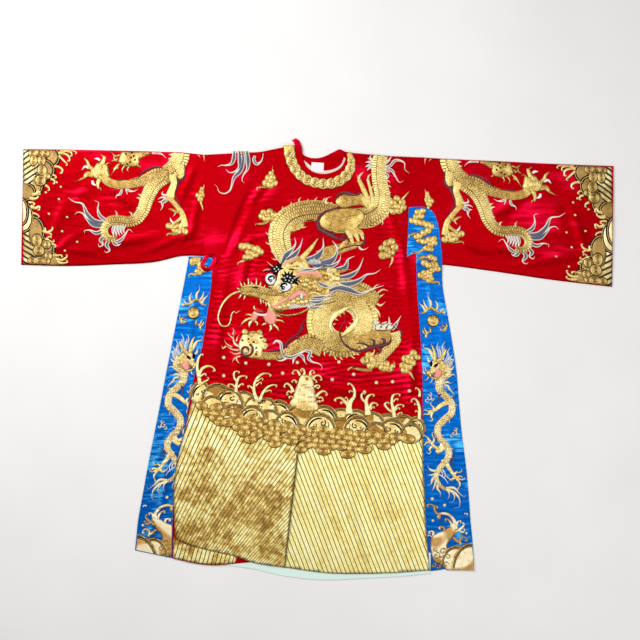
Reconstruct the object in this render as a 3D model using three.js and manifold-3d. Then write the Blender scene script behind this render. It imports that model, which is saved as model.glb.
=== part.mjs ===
// Chinese opera robe laid out flat, face up, neck towards +Y, on the plane z = 0.
// Millimetres. The origin is the middle of the robe's box, on the surface it lies on.
import * as THREE from 'three';
import { mergeVertices } from 'three/addons/utils/BufferGeometryUtils.js';
import Module from 'manifold-3d';

const wasm = await Module();
wasm.setup();

// ---- Driving dimensions ------------------------------------------------------------
const CLOTH = 1.2;          // satin with its embroidery and backing
const SEAM_GAP = 0.3;       // between pieces that are sewn or lie on each other
const BAND = 2.2;           // couched gold collar band
const LABEL = 0.6;
const LOOP_STRAP = 1.8;
const FOLD_HEIGHT = 3;      // a folded sleeve edge, two layers of cloth
const FOLD_ROUND = 1.5;     // how far the fold's corners are drawn in
const LATTICE = 44;         // grid step of a swelling panel
const CURVE_STEPS = 4;      // points between two rows of a smooth edge

const LAYER = CLOTH + SEAM_GAP;
const LEVEL = { back: 0, inside: LAYER, lap: 2 * LAYER, front: 3 * LAYER };
const FRONT_OVER_BACK = 1.8;          // underside of the front where no lap lies below
const FRONT_OVER_LINING = 2 * LAYER;
const TONGUE_HEIGHT = 6.3;            // right fin's top, lying over the front and the sleeve
const TONGUE_LANDS = 250;             // height on the robe at which it is back on the surface
const TONGUE_LEAVES = 370;

const SEAM_LEFT = -382;     // sleeve seams, at one loom width of body cloth
const SEAM_RIGHT = 362;
const ARMPIT_LEFT = 350;
const ARMPIT_RIGHT = 360;

// ---- Measured sections -------------------------------------------------------------
const table = (columns, ...rows) =>
  rows.map((row) => Object.fromEntries(columns.map((name, i) => [name, row[i]])));

// The body below the armpits: where each edge lies at a height y on the robe.
const BODY = table(
  ['y', 'finLeft', 'sideLeft', 'frontLeft', 'sideRight', 'finRight'],
  [340, -438, -356, -331, 335, 423],
  [250, -455, -361, -347, 337, 425],
  [150, -475, -375, -366, 344, 442],
  [50, -495, -390, -384, 351, 459],
  [-50, -515, -416, -404, 356, 473],
  [-150, -534, -435, -428, 357, 481],
  [-250, -554, -452, -452, 358, 490],
  [-350, -574, -468, -477, 360, 503],
  [-450, -592, -484, -488, 364, 513],
  [-550, -610, -492, -486, 368, 520],
  [-609, -616, -493, -484, 371, 526],
);

// Sleeves, from the seam to the cuff: the fold along the shoulder and the seam below.
const SLEEVE_LEFT = table(
  ['xTop', 'yTop', 'xBottom', 'yBottom'],
  [SEAM_LEFT, 694, SEAM_LEFT, 350],
  [-460, 702, -460, 350],
  [-545, 705, -545, 331],
  [-700, 709, -700, 321],
  [-850, 712, -850, 316],
  [-998, 714, -1007, 320],
);
const SLEEVE_RIGHT = table(
  ['xTop', 'yTop', 'xBottom', 'yBottom'],
  [SEAM_RIGHT, 685, SEAM_RIGHT, 325],
  [427, 681, 427, 320],
  [583, 674, 583, 300],
  [811, 663, 811, 267],
  [920, 659, 920, 254],
  [1006, 656, 1001, 245],
);

// Edges that run across the robe, each from its left end to its right end.
const xy = ['x', 'y'];
const SHOULDER_LEFT = table(xy, [SEAM_LEFT, 694], [-270, 700], [-185, 705], [-117, 719]);
const SHOULDER_RIGHT = table(xy, [110, 701], [240, 690], [SEAM_RIGHT, 685]);
const BACK_NECK = table(xy, [-60, 706], [-46, 693], [-22, 684], [0, 683], [24, 689], [53, 703],
  [76, 713], [92, 706]);
const NECKLINE = table(xy, [-53, 720], [-50, 690], [-39, 656], [-13, 635], [14, 629], [36, 630],
  [61, 638], [78, 649], [90, 666], [97, 690], [93, 705]);
const CLOSURE = table(xy, [-185, 705], [-206, 666], [-219, 643], [-237, 593], [-263, 547],
  [-278, 505], [-291, 456], [-321, 377], [-331, 340]);
const FRONT_HEM = table(xy, [-484, -609], [-454, -626], [-400, -643], [-270, -673], [-216, -692],
  [-104, -709], [42, -728], [230, -728], [377, -718]);
const LAP_HEM = table(xy, [-493, -677], [-420, -694], [-352, -701], [-308, -698], [-271, -694]);
const BACK_HEM = table(xy, [-493, -677], [-400, -690], [-308, -700], [-212, -714], [-127, -734],
  [-42, -746], [42, -750], [145, -745], [281, -738], [384, -728]);
const HEM_LINING_DEPTH = 70;

// The gold band round the neck: its middle line, and how wide it is there.
const COLLAR = table(
  ['x', 'y', 'width'],
  [-97, 726, 38],
  [-93, 690, 38],
  [-83, 660, 36],
  [-65, 632, 34],
  [-36, 609, 34],
  [2, 597, 34],
  [39, 595, 34],
  [73, 605, 36],
  [100, 626, 36],
  [114, 656, 30],
  [113, 683, 22],
  [106, 700, 16],
);
const STRAP_TIP = table(xy, [-80, 734], [-87, 743], [-73, 750], [-61, 741]);

// The lap's inner edge runs from below the band to the hem, faced with a red strip.
const LAP_EDGE = { top: [-62, 612], bottom: [-219, -690], facing: 52 };
const UNDER_BAND = table(xy, [-117, 719], [-110, 673], [-94, 640]);

const LABEL_AT = { x: 0, y: 652, width: 42, height: 31, turn: -0.06 };
const LOOP = { x: -370, y: 328, slot: 38, width: 18, strap: 14, turn: 1.0, tailTo: -341 };

// Soft swells of the laid cloth: middle, half length, half width, turn and rise.
const SWELLS = table(
  ['x', 'y', 'long', 'wide', 'turn', 'rise'],
  [-170, 560, 150, 45, 0.9, 1.6],
  [60, 520, 190, 60, 0.1, 1.4],
  [-150, 330, 170, 70, -0.3, 2.0],
  [130, 250, 180, 80, 0.4, 1.8],
  [-250, 60, 190, 60, 1.3, 1.5],
  [40, -20, 220, 70, -0.1, 2.0],
  [270, -90, 150, 60, 1.4, 1.2],
  [-330, -330, 200, 60, 1.4, 1.8],
  [-130, -450, 230, 70, 1.5, 2.0],
  [110, -400, 240, 80, 1.5, 2.2],
  [290, -480, 200, 50, 1.6, 1.5],
  [-560, 560, 130, 60, 0.5, 1.2],
  [-760, 480, 160, 80, -0.2, 1.5],
  [-900, 600, 90, 50, 0.8, 1.0],
  [560, 560, 130, 60, -0.5, 1.2],
  [760, 430, 160, 80, 0.2, 1.5],
  [910, 540, 90, 50, -0.8, 1.0],
);

// ---- Heights -----------------------------------------------------------------------
const ramp = (from, to, value) => THREE.MathUtils.smoothstep(value, from, to);

function swell(x, y) {
  let rise = 0;
  for (const s of SWELLS) {
    const along = ((x - s.x) * Math.cos(s.turn) + (y - s.y) * Math.sin(s.turn)) / s.long;
    const across = ((y - s.y) * Math.cos(s.turn) - (x - s.x) * Math.sin(s.turn)) / s.wide;
    rise += s.rise * Math.exp(-(along ** 2) - across ** 2);
  }
  return rise;
}

function lapEdgeAt(y) {
  const [xTop, yTop] = LAP_EDGE.top;
  const [xBottom, yBottom] = LAP_EDGE.bottom;
  return xBottom + ((xTop - xBottom) * (y - yBottom)) / (yTop - yBottom);
}

// Underside of the front panel: over the lap, over the neck and hem pieces, else near the back.
function frontUnder(x, y) {
  const overLap = 1 - ramp(LAP_EDGE.facing, 3 * LAP_EDGE.facing, x - lapEdgeAt(y));
  const overNeck = ramp(540, 600, y) * (1 - ramp(150, 230, Math.abs(x)));
  const overHem = 1 - ramp(-630, -560, y);
  const rest = Math.max(
    FRONT_OVER_BACK + (LEVEL.front - FRONT_OVER_BACK) * Math.max(overLap, overNeck),
    FRONT_OVER_BACK + (FRONT_OVER_LINING - FRONT_OVER_BACK) * overHem,
  );
  const room = (LEVEL.front - rest) / (LEVEL.front - FRONT_OVER_BACK);
  const calmNeck = 1 - ramp(500, 560, y) * (1 - ramp(180, 260, Math.abs(x)));
  const calmTongue = 1 - ramp(250, 300, x) * ramp(280, 320, y);
  return rest + swell(x, y) * calmNeck * calmTongue * (0.25 + 0.75 * room);
}

function tongueUnder(x, y) {
  return TONGUE_HEIGHT * ramp(TONGUE_LANDS, TONGUE_LEAVES, y);
}

// ---- Outlines ----------------------------------------------------------------------
function smooth(rows) {
  const points = rows.map((row) => new THREE.Vector3(row.x, row.y, 0));
  const steps = (points.length - 1) * CURVE_STEPS;
  return new THREE.CatmullRomCurve3(points, false, 'centripetal')
    .getPoints(steps)
    .map((p) => new THREE.Vector2(p.x, p.y));
}

const bodyEdge = (column, shift = 0) =>
  smooth(BODY.map((row) => ({ x: row[column] + shift, y: row.y })));

const corner = (x, y) => [new THREE.Vector2(x, y)];

function outline(...edges) {
  const points = [];
  for (const p of edges.flat()) {
    if (!points.length || points[points.length - 1].distanceTo(p) > 0.5) points.push(p);
  }
  if (points[0].distanceTo(points[points.length - 1]) <= 0.5) points.pop();
  return points;
}

// ---- Solids ------------------------------------------------------------------------
function toManifold(geometry) {
  const bare = geometry.clone();
  bare.deleteAttribute('normal');
  bare.deleteAttribute('uv');
  const merged = mergeVertices(bare, 1e-4);
  return new wasm.Manifold(new wasm.Mesh({
    numProp: 3,
    vertProperties: new Float32Array(merged.attributes.position.array),
    triVerts: new Uint32Array(merged.index.array),
  }));
}

function fromManifold(solid) {
  const mesh = solid.getMesh();
  const geometry = new THREE.BufferGeometry();
  geometry.setAttribute('position', new THREE.BufferAttribute(mesh.vertProperties, 3));
  geometry.setIndex(new THREE.BufferAttribute(mesh.triVerts, 1));
  geometry.computeVertexNormals();
  return geometry;
}

function flatPanel(points, under, thickness, holes = []) {
  const shape = new THREE.Shape(points);
  for (const hole of holes) shape.holes.push(new THREE.Path(hole));
  const geometry = new THREE.ExtrudeGeometry(shape, { depth: thickness, bevelEnabled: false });
  geometry.translate(0, 0, under);
  return geometry;
}

function meshFrom(positions, indices) {
  const geometry = new THREE.BufferGeometry();
  geometry.setAttribute('position', new THREE.Float32BufferAttribute(positions, 3));
  geometry.setIndex(indices);
  geometry.computeVertexNormals();
  return geometry;
}

// A grid of cloth over a box, its underside at under(x, y), as a closed wall.
function clothGrid(box, stepX, stepY, under) {
  const nx = Math.ceil((box.max.x - box.min.x) / stepX) + 2;
  const ny = Math.ceil((box.max.y - box.min.y) / stepY) + 2;
  const positions = [];
  for (const lift of [0, CLOTH]) {
    for (let j = 0; j <= ny; j++) {
      for (let i = 0; i <= nx; i++) {
        const x = box.min.x + (i - 1) * stepX;
        const y = box.min.y + (j - 1) * stepY;
        positions.push(x, y, under(x, y) + lift);
      }
    }
  }
  const layer = (nx + 1) * (ny + 1);
  const at = (i, j, top) => top * layer + j * (nx + 1) + i;
  const indices = [];
  const quad = (a, b, c, d) => indices.push(a, b, c, a, c, d);
  for (let j = 0; j < ny; j++) {
    for (let i = 0; i < nx; i++) {
      quad(at(i, j, 1), at(i + 1, j, 1), at(i + 1, j + 1, 1), at(i, j + 1, 1));
      quad(at(i, j, 0), at(i, j + 1, 0), at(i + 1, j + 1, 0), at(i + 1, j, 0));
    }
  }
  for (let i = 0; i < nx; i++) {
    quad(at(i, 0, 0), at(i + 1, 0, 0), at(i + 1, 0, 1), at(i, 0, 1));
    quad(at(i + 1, ny, 0), at(i, ny, 0), at(i, ny, 1), at(i + 1, ny, 1));
  }
  for (let j = 0; j < ny; j++) {
    quad(at(0, j + 1, 0), at(0, j, 0), at(0, j, 1), at(0, j + 1, 1));
    quad(at(nx, j, 0), at(nx, j + 1, 0), at(nx, j + 1, 1), at(nx, j, 1));
  }
  return meshFrom(positions, indices);
}

function swellingPanel(points, under, stepX = LATTICE, stepY = LATTICE) {
  const box = new THREE.Box2().setFromPoints(points);
  const cloth = toManifold(clothGrid(box, stepX, stepY, under));
  const cutter = toManifold(flatPanel(points, -20, 60));
  return fromManifold(cloth.intersect(cutter));
}

// One closed ring of a folded sleeve, drawn in by inset: the upper layer, a fold, the lower
// layer and the other fold.
function sleeveRing(section, inset) {
  const across = 9;
  const ring = [];
  const point = (v, edge, z) => {
    const length = Math.hypot(section.xTop - section.xBottom, section.yTop - section.yBottom);
    const f = v + ((0.5 - v) * 2 * edge) / length;
    const x = section.xBottom + (section.xTop - section.xBottom) * f;
    const y = section.yBottom + (section.yTop - section.yBottom) * f;
    return [x, y, z === null ? sleeveHeight(x, y, v) - inset : z];
  };
  for (let i = 0; i <= across; i++) ring.push(point(i / across, inset + FOLD_ROUND, null));
  ring.push(point(1, inset, FOLD_HEIGHT / 2));
  for (let i = across; i >= 0; i--) ring.push(point(i / across, inset + FOLD_ROUND, inset));
  ring.push(point(0, inset, FOLD_HEIGHT / 2));
  return ring;
}

// Two layers of cloth with a swell that dies away at the folds; less than 4 mm of air inside.
function sleeveHeight(x, y, v) {
  const inner = ramp(0, 0.25, v) * ramp(0, 0.25, 1 - v);
  const calmTongue = 1 - ramp(300, 340, x) * (1 - ramp(440, 520, x));
  return FOLD_HEIGHT + inner * (0.9 + 1.2 * Math.min(swell(x, y), 1.8) * calmTongue);
}

function sleeve(rows, seamShift) {
  const stations = 12;
  const curves = [['xTop', 'yTop'], ['xBottom', 'yBottom']].map(([x, y]) =>
    new THREE.CatmullRomCurve3(rows.map((r) => new THREE.Vector3(r[x], r[y], 0)), false,
      'centripetal'));
  const sections = [];
  for (let k = 0; k <= stations; k++) {
    const [top, bottom] = curves.map((curve) => curve.getPoint(k / stations));
    const shift = k === 0 ? seamShift : 0;
    sections.push({ xTop: top.x + shift, yTop: top.y, xBottom: bottom.x + shift,
      yBottom: bottom.y });
  }
  const rings = [0, CLOTH].map((inset) => sections.map((s) => sleeveRing(s, inset)));
  const count = rings[0][0].length;
  const positions = rings.flat(3);
  const at = (wall, k, i) => (wall * (stations + 1) + k) * count + (i % count);
  const indices = [];
  const quad = (a, b, c, d) => indices.push(a, b, c, a, c, d);
  for (let i = 0; i < count; i++) {
    for (let k = 0; k < stations; k++) {
      quad(at(0, k, i), at(0, k, i + 1), at(0, k + 1, i + 1), at(0, k + 1, i));
      quad(at(1, k, i), at(1, k + 1, i), at(1, k + 1, i + 1), at(1, k, i + 1));
    }
    quad(at(0, 0, i), at(1, 0, i), at(1, 0, i + 1), at(0, 0, i + 1));
    quad(at(0, stations, i), at(0, stations, i + 1), at(1, stations, i + 1), at(1, stations, i));
  }
  const geometry = meshFrom(positions, indices);
  return toManifold(geometry).volume() > 0 ? geometry : meshFrom(positions, flipped(indices));
}

function flipped(indices) {
  const turned = [];
  for (let i = 0; i < indices.length; i += 3) {
    turned.push(indices[i], indices[i + 2], indices[i + 1]);
  }
  return turned;
}

// ---- Pieces ------------------------------------------------------------------------
const collarSide = (sign) => {
  const points = COLLAR.map((row) => new THREE.Vector3(row.x, row.y, row.width));
  const curve = new THREE.CatmullRomCurve3(points, false, 'centripetal');
  const steps = (points.length - 1) * CURVE_STEPS;
  const side = [];
  for (let i = 0; i <= steps; i++) {
    const p = curve.getPoint(i / steps);
    const along = curve.getTangent(i / steps).setZ(0).normalize();
    side.push(new THREE.Vector2(p.x - (sign * along.y * p.z) / 2, p.y + (sign * along.x * p.z) / 2));
  }
  return side;
};

function backPanel() {
  return flatPanel(outline(
    smooth(SHOULDER_LEFT), smooth(BACK_NECK), smooth(SHOULDER_RIGHT),
    corner(SEAM_RIGHT, ARMPIT_RIGHT), bodyEdge('sideRight'),
    smooth(BACK_HEM).reverse(), bodyEdge('sideLeft').reverse(),
    corner(BODY[0].sideLeft, ARMPIT_LEFT), corner(SEAM_LEFT, ARMPIT_LEFT),
  ), LEVEL.back, CLOTH);
}

function hemLining() {
  const from = LAP_HEM[3].x;
  const shown = BACK_HEM.filter((row) => row.x >= from);
  const raised = shown.map((row) => ({ x: row.x, y: row.y + HEM_LINING_DEPTH }));
  return flatPanel(outline(smooth(shown), smooth(raised).reverse()), LEVEL.inside, CLOTH);
}

// The red facing of the back's neck, and the pale lining that shows below it.
const FACING_EDGE = table(xy, [-46, 676], [-15, 652], [20, 641], [55, 646], [80, 662], [90, 686]);
const NECK_LINING_EDGE = table(xy, [-70, 660], [-20, 615], [35, 605], [90, 625], [112, 672]);

function backFacing() {
  const top = BACK_NECK.slice(1).map((row) => ({ x: row.x, y: row.y - 1 }));
  return flatPanel(outline(smooth(top), smooth(FACING_EDGE).reverse()), LEVEL.inside, CLOTH);
}

function neckLining() {
  const top = FACING_EDGE.map((row) => ({ x: row.x, y: row.y - 2 * SEAM_GAP }));
  return flatPanel(outline(smooth(NECK_LINING_EDGE), smooth(top).reverse()), LEVEL.inside, CLOTH);
}

function underLap() {
  const inset = LAP_EDGE.facing;
  return flatPanel(outline(
    smooth(SHOULDER_LEFT), smooth(UNDER_BAND),
    corner(LAP_EDGE.top[0] - inset, LAP_EDGE.top[1]),
    smooth(LAP_HEM).reverse(), bodyEdge('sideLeft').reverse(),
    corner(BODY[0].sideLeft, ARMPIT_LEFT), corner(SEAM_LEFT, ARMPIT_LEFT),
  ), LEVEL.lap, CLOTH);
}

function lapFacing() {
  const { top, bottom, facing } = LAP_EDGE;
  const seam = SEAM_GAP - facing;
  return flatPanel([
    new THREE.Vector2(top[0] + seam, top[1]), new THREE.Vector2(top[0], top[1]),
    new THREE.Vector2(bottom[0], bottom[1]), new THREE.Vector2(bottom[0] + seam, bottom[1] - 4),
  ].reverse(), LEVEL.lap, CLOTH);
}

function frontPanel() {
  return swellingPanel(outline(
    corner(-117, 719), corner(-53, 720), smooth(NECKLINE), smooth(SHOULDER_RIGHT),
    corner(SEAM_RIGHT, ARMPIT_RIGHT), bodyEdge('sideRight'),
    smooth(FRONT_HEM).reverse(), bodyEdge('frontLeft').reverse(), smooth(CLOSURE).reverse(),
  ), frontUnder);
}

function collarBand() {
  return flatPanel(outline(collarSide(1), collarSide(-1).reverse()),
    LEVEL.front + LAYER, BAND);
}

function neckBinding() {
  const inner = collarSide(1).filter((p) => p.y < STRAP_TIP[0].y);
  const clear = inner.map((p) => {
    const out = p.clone().sub(new THREE.Vector2(20, 690)).normalize();
    return p.clone().addScaledVector(out, -2 * SEAM_GAP);
  });
  const strap = STRAP_TIP.map((row) => new THREE.Vector2(row.x, row.y));
  return flatPanel(outline(clear.reverse(), strap, smooth(NECKLINE)),
    LEVEL.front + LAYER, CLOTH);
}

function neckLabel() {
  const { x, y, width, height, turn } = LABEL_AT;
  const geometry = new THREE.BoxGeometry(width, height, LABEL);
  geometry.rotateZ(turn);
  geometry.translate(x, y, LEVEL.lap + LABEL / 2);
  return geometry;
}

// A flat strap doubled into a slotted loop, with a tail to the front's edge.
function tieLoop() {
  const slot = (grow) => {
    const half = LOOP.slot / 2 - LOOP.width / 2;
    const radius = LOOP.width / 2 + grow;
    const points = [];
    for (const [centre, start] of [[half, -Math.PI / 2], [-half, Math.PI / 2]]) {
      for (let i = 0; i <= 6; i++) {
        const a = start + (i * Math.PI) / 6;
        points.push(new THREE.Vector2(centre + radius * Math.cos(a), radius * Math.sin(a)));
      }
    }
    const middle = new THREE.Vector2(LOOP.x, LOOP.y);
    return points.map((p) => p.rotateAround(new THREE.Vector2(), LOOP.turn).add(middle));
  };
  const height = LEVEL.lap + LAYER;
  const ring = toManifold(flatPanel(slot(LOOP.strap), height, LOOP_STRAP, [slot(0).reverse()]));
  const tail = toManifold(flatPanel([
    new THREE.Vector2(LOOP.x + LOOP.width, LOOP.y - LOOP.strap),
    new THREE.Vector2(LOOP.tailTo, LOOP.y - LOOP.strap),
    new THREE.Vector2(LOOP.tailTo, LOOP.y + LOOP.strap),
    new THREE.Vector2(LOOP.x + LOOP.width, LOOP.y + LOOP.strap),
  ], height, LOOP_STRAP));
  return fromManifold(ring.add(tail));
}

function finLeft() {
  const shift = -SEAM_GAP;
  return flatPanel(outline(
    corner(BODY[0].finLeft - 1, ARMPIT_LEFT - 2), corner(BODY[0].sideLeft + shift, ARMPIT_LEFT - 2),
    bodyEdge('sideLeft', shift), corner(-493 + shift, -677), corner(-620, -650),
    bodyEdge('finLeft').reverse(),
  ), LEVEL.back, CLOTH);
}

// The stiffened top of the right fin stands free and lies over the front and the sleeve.
const TONGUE = table(xy, [335, 362], [303, 347], [307, 440], [309, 515], [330, 517], [362, 517],
  [386, 505], [399, 490], [410, 456], [417, 405], [422, 360]);

function finRight() {
  return swellingPanel(outline(
    TONGUE.map((row) => new THREE.Vector2(row.x + SEAM_GAP, row.y)),
    bodyEdge('finRight'), corner(532, -700), corner(384 + SEAM_GAP, -721),
    bodyEdge('sideRight', SEAM_GAP).reverse(),
  ), tongueUnder, 60, 24);
}

// ---- The robe ----------------------------------------------------------------------
const SATIN = { roughness: 0.42, metalness: 0 };
const FINISHES = {
  red: { color: 0xb4061e, ...SATIN },
  blue: { color: 0x0b55b8, ...SATIN },
  gold: { color: 0xc9a34e, roughness: 0.38, metalness: 0.35 },
  lining: { color: 0xcfeee4, roughness: 0.7, metalness: 0 },
  white: { color: 0xe9ded6, roughness: 0.8, metalness: 0 },
};

const PIECES = [
  ['back_panel', backPanel(), 'red'],
  ['back_neck_facing', backFacing(), 'red'],
  ['neck_lining', neckLining(), 'lining'],
  ['neck_label', neckLabel(), 'white'],
  ['hem_lining', hemLining(), 'lining'],
  ['under_lap', underLap(), 'red'],
  ['under_lap_facing', lapFacing(), 'red'],
  ['front_panel', frontPanel(), 'red'],
  ['neck_binding', neckBinding(), 'red'],
  ['collar_band', collarBand(), 'gold'],
  ['sleeve_left', sleeve(SLEEVE_LEFT, -SEAM_GAP), 'red'],
  ['sleeve_right', sleeve(SLEEVE_RIGHT, SEAM_GAP), 'red'],
  ['fin_left', finLeft(), 'blue'],
  ['fin_right', finRight(), 'blue'],
  ['tie_loop', tieLoop(), 'red'],
];

const group = new THREE.Group();
for (const [name, geometry, finish] of PIECES) {
  const mesh = new THREE.Mesh(geometry, new THREE.MeshStandardMaterial(FINISHES[finish]));
  mesh.name = name;
  group.add(mesh);
}

export default group;
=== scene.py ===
# %% [markdown]
# # A Chinese opera robe, laid flat
# The real robe is cut from red and blue satin and covered in hand embroidery: gold thread laid
# on the cloth and couched down, with satin stitch in silver, slate, pink, black and white.
# This lesson builds it the way it is made. First each cut piece becomes a thin shell of cloth
# with folds, and then every motif is a raised, padded shape that lies on the cloth below it.

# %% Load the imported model
import math

import bmesh
import bpy
import numpy as np
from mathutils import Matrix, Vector
from mathutils.geometry import delaunay_2d_cdt


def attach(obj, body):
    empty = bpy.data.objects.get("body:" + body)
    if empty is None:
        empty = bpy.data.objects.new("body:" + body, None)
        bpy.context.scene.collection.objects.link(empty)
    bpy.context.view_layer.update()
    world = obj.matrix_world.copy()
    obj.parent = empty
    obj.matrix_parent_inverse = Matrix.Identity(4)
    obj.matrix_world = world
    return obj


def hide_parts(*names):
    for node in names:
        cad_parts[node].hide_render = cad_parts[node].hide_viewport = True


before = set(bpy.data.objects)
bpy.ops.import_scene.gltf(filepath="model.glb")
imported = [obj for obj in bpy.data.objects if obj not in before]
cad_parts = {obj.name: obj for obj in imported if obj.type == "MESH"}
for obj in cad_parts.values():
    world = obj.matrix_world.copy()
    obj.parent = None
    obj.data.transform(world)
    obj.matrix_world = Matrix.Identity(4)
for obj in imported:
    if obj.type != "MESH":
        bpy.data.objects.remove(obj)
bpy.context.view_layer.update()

MM = 0.001
print("pieces in the frame:", sorted(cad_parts))

# %% [markdown]
# ## Camera
# The robe lies on a table and is seen from straight above, with its neck at the top. A long
# lens high over the table keeps the outline true, as a costume catalogue does. The view is
# 2.18 m across, and its middle is a little above and beside the middle of the robe. The
# standard colour transform keeps saturated dyes as deep as they are.

# %% Camera
FIELD = 2.176
CAMERA_X, CAMERA_Y, CAMERA_HEIGHT = 0.0085, 0.1326, 4.2
SENSOR = 36.0

scene = bpy.context.scene
lens = bpy.data.cameras.new("overhead")
lens.sensor_width = SENSOR
lens.lens = SENSOR * CAMERA_HEIGHT / FIELD
camera = bpy.data.objects.new("overhead", lens)
camera.location = (CAMERA_X, CAMERA_Y, CAMERA_HEIGHT)
scene.collection.objects.link(camera)
scene.camera = camera
scene.view_settings.view_transform = "Standard"
print("lens", round(lens.lens, 1), "mm")

# %% [markdown]
# ## Shader arithmetic
# Materials here are written as sums. `Value` wraps one shader socket, and Python's operators
# add Math nodes to it. `Finish` is one material: its `node` method makes any other node.

# %% Value and Finish
class Value:
    """A number in a shader. Arithmetic on it adds Math nodes."""

    def __init__(self, finish, socket):
        self.finish = finish
        self.socket = socket

    def _math(self, operation, *numbers):
        inputs = {i: n for i, n in enumerate(numbers)}
        return self.finish.node("ShaderNodeMath", {"operation": operation}, inputs)

    def __add__(self, other):
        return self._math("ADD", self, other)

    __radd__ = __add__

    def __mul__(self, other):
        return self._math("MULTIPLY", self, other)

    __rmul__ = __mul__

    def __sub__(self, other):
        return self._math("SUBTRACT", self, other)

    def __rsub__(self, other):
        return self._math("SUBTRACT", other, self)

    def __truediv__(self, other):
        return self._math("DIVIDE", self, other)

    def __pow__(self, other):
        return self._math("POWER", self, other)

    def math(self, operation, *numbers):
        return self._math(operation, self, *numbers)

    def wave(self, period):
        """0 to 1 and back, once in each period."""
        return self._math("SINE", self * (2 * math.pi / period)) * 0.5 + 0.5

    def between(self, low, high):
        """0 below low, 1 above high, and a soft ramp between them."""
        settings = {"interpolation_type": "SMOOTHSTEP"}
        return self.finish.node("ShaderNodeMapRange", settings,
                                {"Value": self, "From Min": low, "From Max": high})

    def limited(self):
        return self.finish.node("ShaderNodeMath", {"operation": "ADD", "use_clamp": True},
                                {0: self, 1: 0.0})


class Finish:
    """One procedural material with a Principled shader."""

    def __init__(self, name, **constants):
        self.material = bpy.data.materials.new(name)
        self.material.use_nodes = True
        self.tree = self.material.node_tree
        self.shader = self.tree.nodes["Principled BSDF"]
        for socket, number in constants.items():
            self.shader.inputs[socket.replace("_", " ")].default_value = number

    def node(self, kind, settings=None, inputs=None, output=0):
        made = self.tree.nodes.new(kind)
        for key, setting in (settings or {}).items():
            if key == "stops":
                ramp = made.color_ramp
                while len(ramp.elements) < len(setting):
                    ramp.elements.new(1.0)
                for element, (place, colour) in zip(ramp.elements, setting):
                    element.position = place
                    element.color = (*colour, 1.0)
            else:
                setattr(made, key, setting)
        for key, given in (inputs or {}).items():
            self.feed(made.inputs[key], given)
        return Value(self, made.outputs[output])

    def feed(self, socket, given):
        if isinstance(given, Value):
            self.tree.links.new(given.socket, socket)
        elif socket.type == "RGBA" and len(given) == 3:
            socket.default_value = (*given, 1.0)
        else:
            socket.default_value = given

    def place(self):
        """Where a point is on the robe, in metres."""
        return self.node("ShaderNodeNewGeometry")

    def stretched(self, x, y):
        """The place on the robe, stretched along each axis."""
        return self.node("ShaderNodeVectorMath", {"operation": "MULTIPLY"},
                         {0: self.place(), 1: (x, y, 1.0)})

    def noise(self, scale, detail=2.0, vector=None):
        inputs = {"Vector": vector or self.place(), "Scale": scale, "Detail": detail}
        return self.node("ShaderNodeTexNoise", None, inputs)

    def stitch(self, name):
        """A number that the embroidery stores at each point."""
        return self.node("ShaderNodeAttribute", {"attribute_name": name}, output=2)

    def mix(self, factor, first, second):
        settings = {"data_type": "RGBA", "blend_type": "MIX"}
        return self.node("ShaderNodeMix", settings, {0: factor, 6: first, 7: second}, output=2)

    def colour(self, given):
        self.feed(self.shader.inputs["Base Color"], given)
        return self

    def rough(self, given):
        self.feed(self.shader.inputs["Roughness"], given)
        return self

    def bump(self, height, distance, strength=1.0):
        normal = self.node("ShaderNodeBump", None,
                           {"Height": height, "Distance": distance, "Strength": strength})
        self.feed(self.shader.inputs["Normal"], normal)
        return self


def srgb(red, green, blue):
    """A colour as the eye reads it, 0 to 255, in the linear form that shaders use."""
    def linear(c):
        c /= 255
        return c / 12.92 if c <= 0.04045 else ((c + 0.055) / 1.055) ** 2.4
    return (linear(red), linear(green), linear(blue))


print("mid grey is", round(srgb(128, 128, 128)[0], 3), "in linear light")

# %% [markdown]
# ## Satin
# Satin floats long threads over the cloth, so it is smooth, glossy and deeper in colour where
# it faces away from the light. Each point of the cloth stores a `gleam`, which says how far
# its fold turns towards the upper left. The finish paints that light into the colour: painted
# shade makes the red deepest where a fold turns away, and a painted paler, pinker sheen shows
# where it turns towards the light. A painted texture could do this too, but noise stretched
# along the weave stays sharp however close the lens comes.

# %% Satin finishes
def satin(name, deep, bright, glow, roughness, slub_share=0.36):
    finish = Finish(name, Metallic=0.45, Specular_IOR_Level=0.5)
    finish.shader.inputs["Specular Tint"].default_value = (*glow, 1.0)
    # painted light: the gleam paints shade where a fold turns away and a pinker sheen where it turns to the
    # light; slub and weave noise is the cloth's own
    facing = finish.stitch("gleam")
    slub = finish.noise(1.0, 3.0, finish.stretched(22.0, 170.0))
    sheen_patches = finish.noise(1.0, 2.0, finish.stretched(4.5, 9.0))
    turned = facing * 0.5 + (slub - 0.5) * slub_share
    dye_with_painted_shade = finish.mix((0.42 + turned * 0.8).limited(), deep, bright)
    sheen = (turned * 1.4 + (sheen_patches - 0.52) * 2.6).between(0.05, 0.8)
    finish.colour(finish.mix(sheen * 0.95, dye_with_painted_shade, glow))
    finish.rough(slub * 0.14 + (roughness - 0.07))
    weave = finish.noise(1.0, 2.0, finish.stretched(500.0, 3200.0))
    finish.bump(weave * 0.25 + slub, 0.0012, 0.5)
    return finish.material


# deep, bright and glow are shaded, lit and sheen copies of each dye, mixed by the painted light of the
# folds
RED_SATIN = satin("red_satin", srgb(128, 0, 2), srgb(190, 0, 10), srgb(236, 10, 58), 0.36)
BLUE_SATIN = satin("blue_satin", srgb(0, 48, 124), srgb(0, 124, 224), srgb(80, 196, 255),
                   0.34, 0.95)


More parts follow.
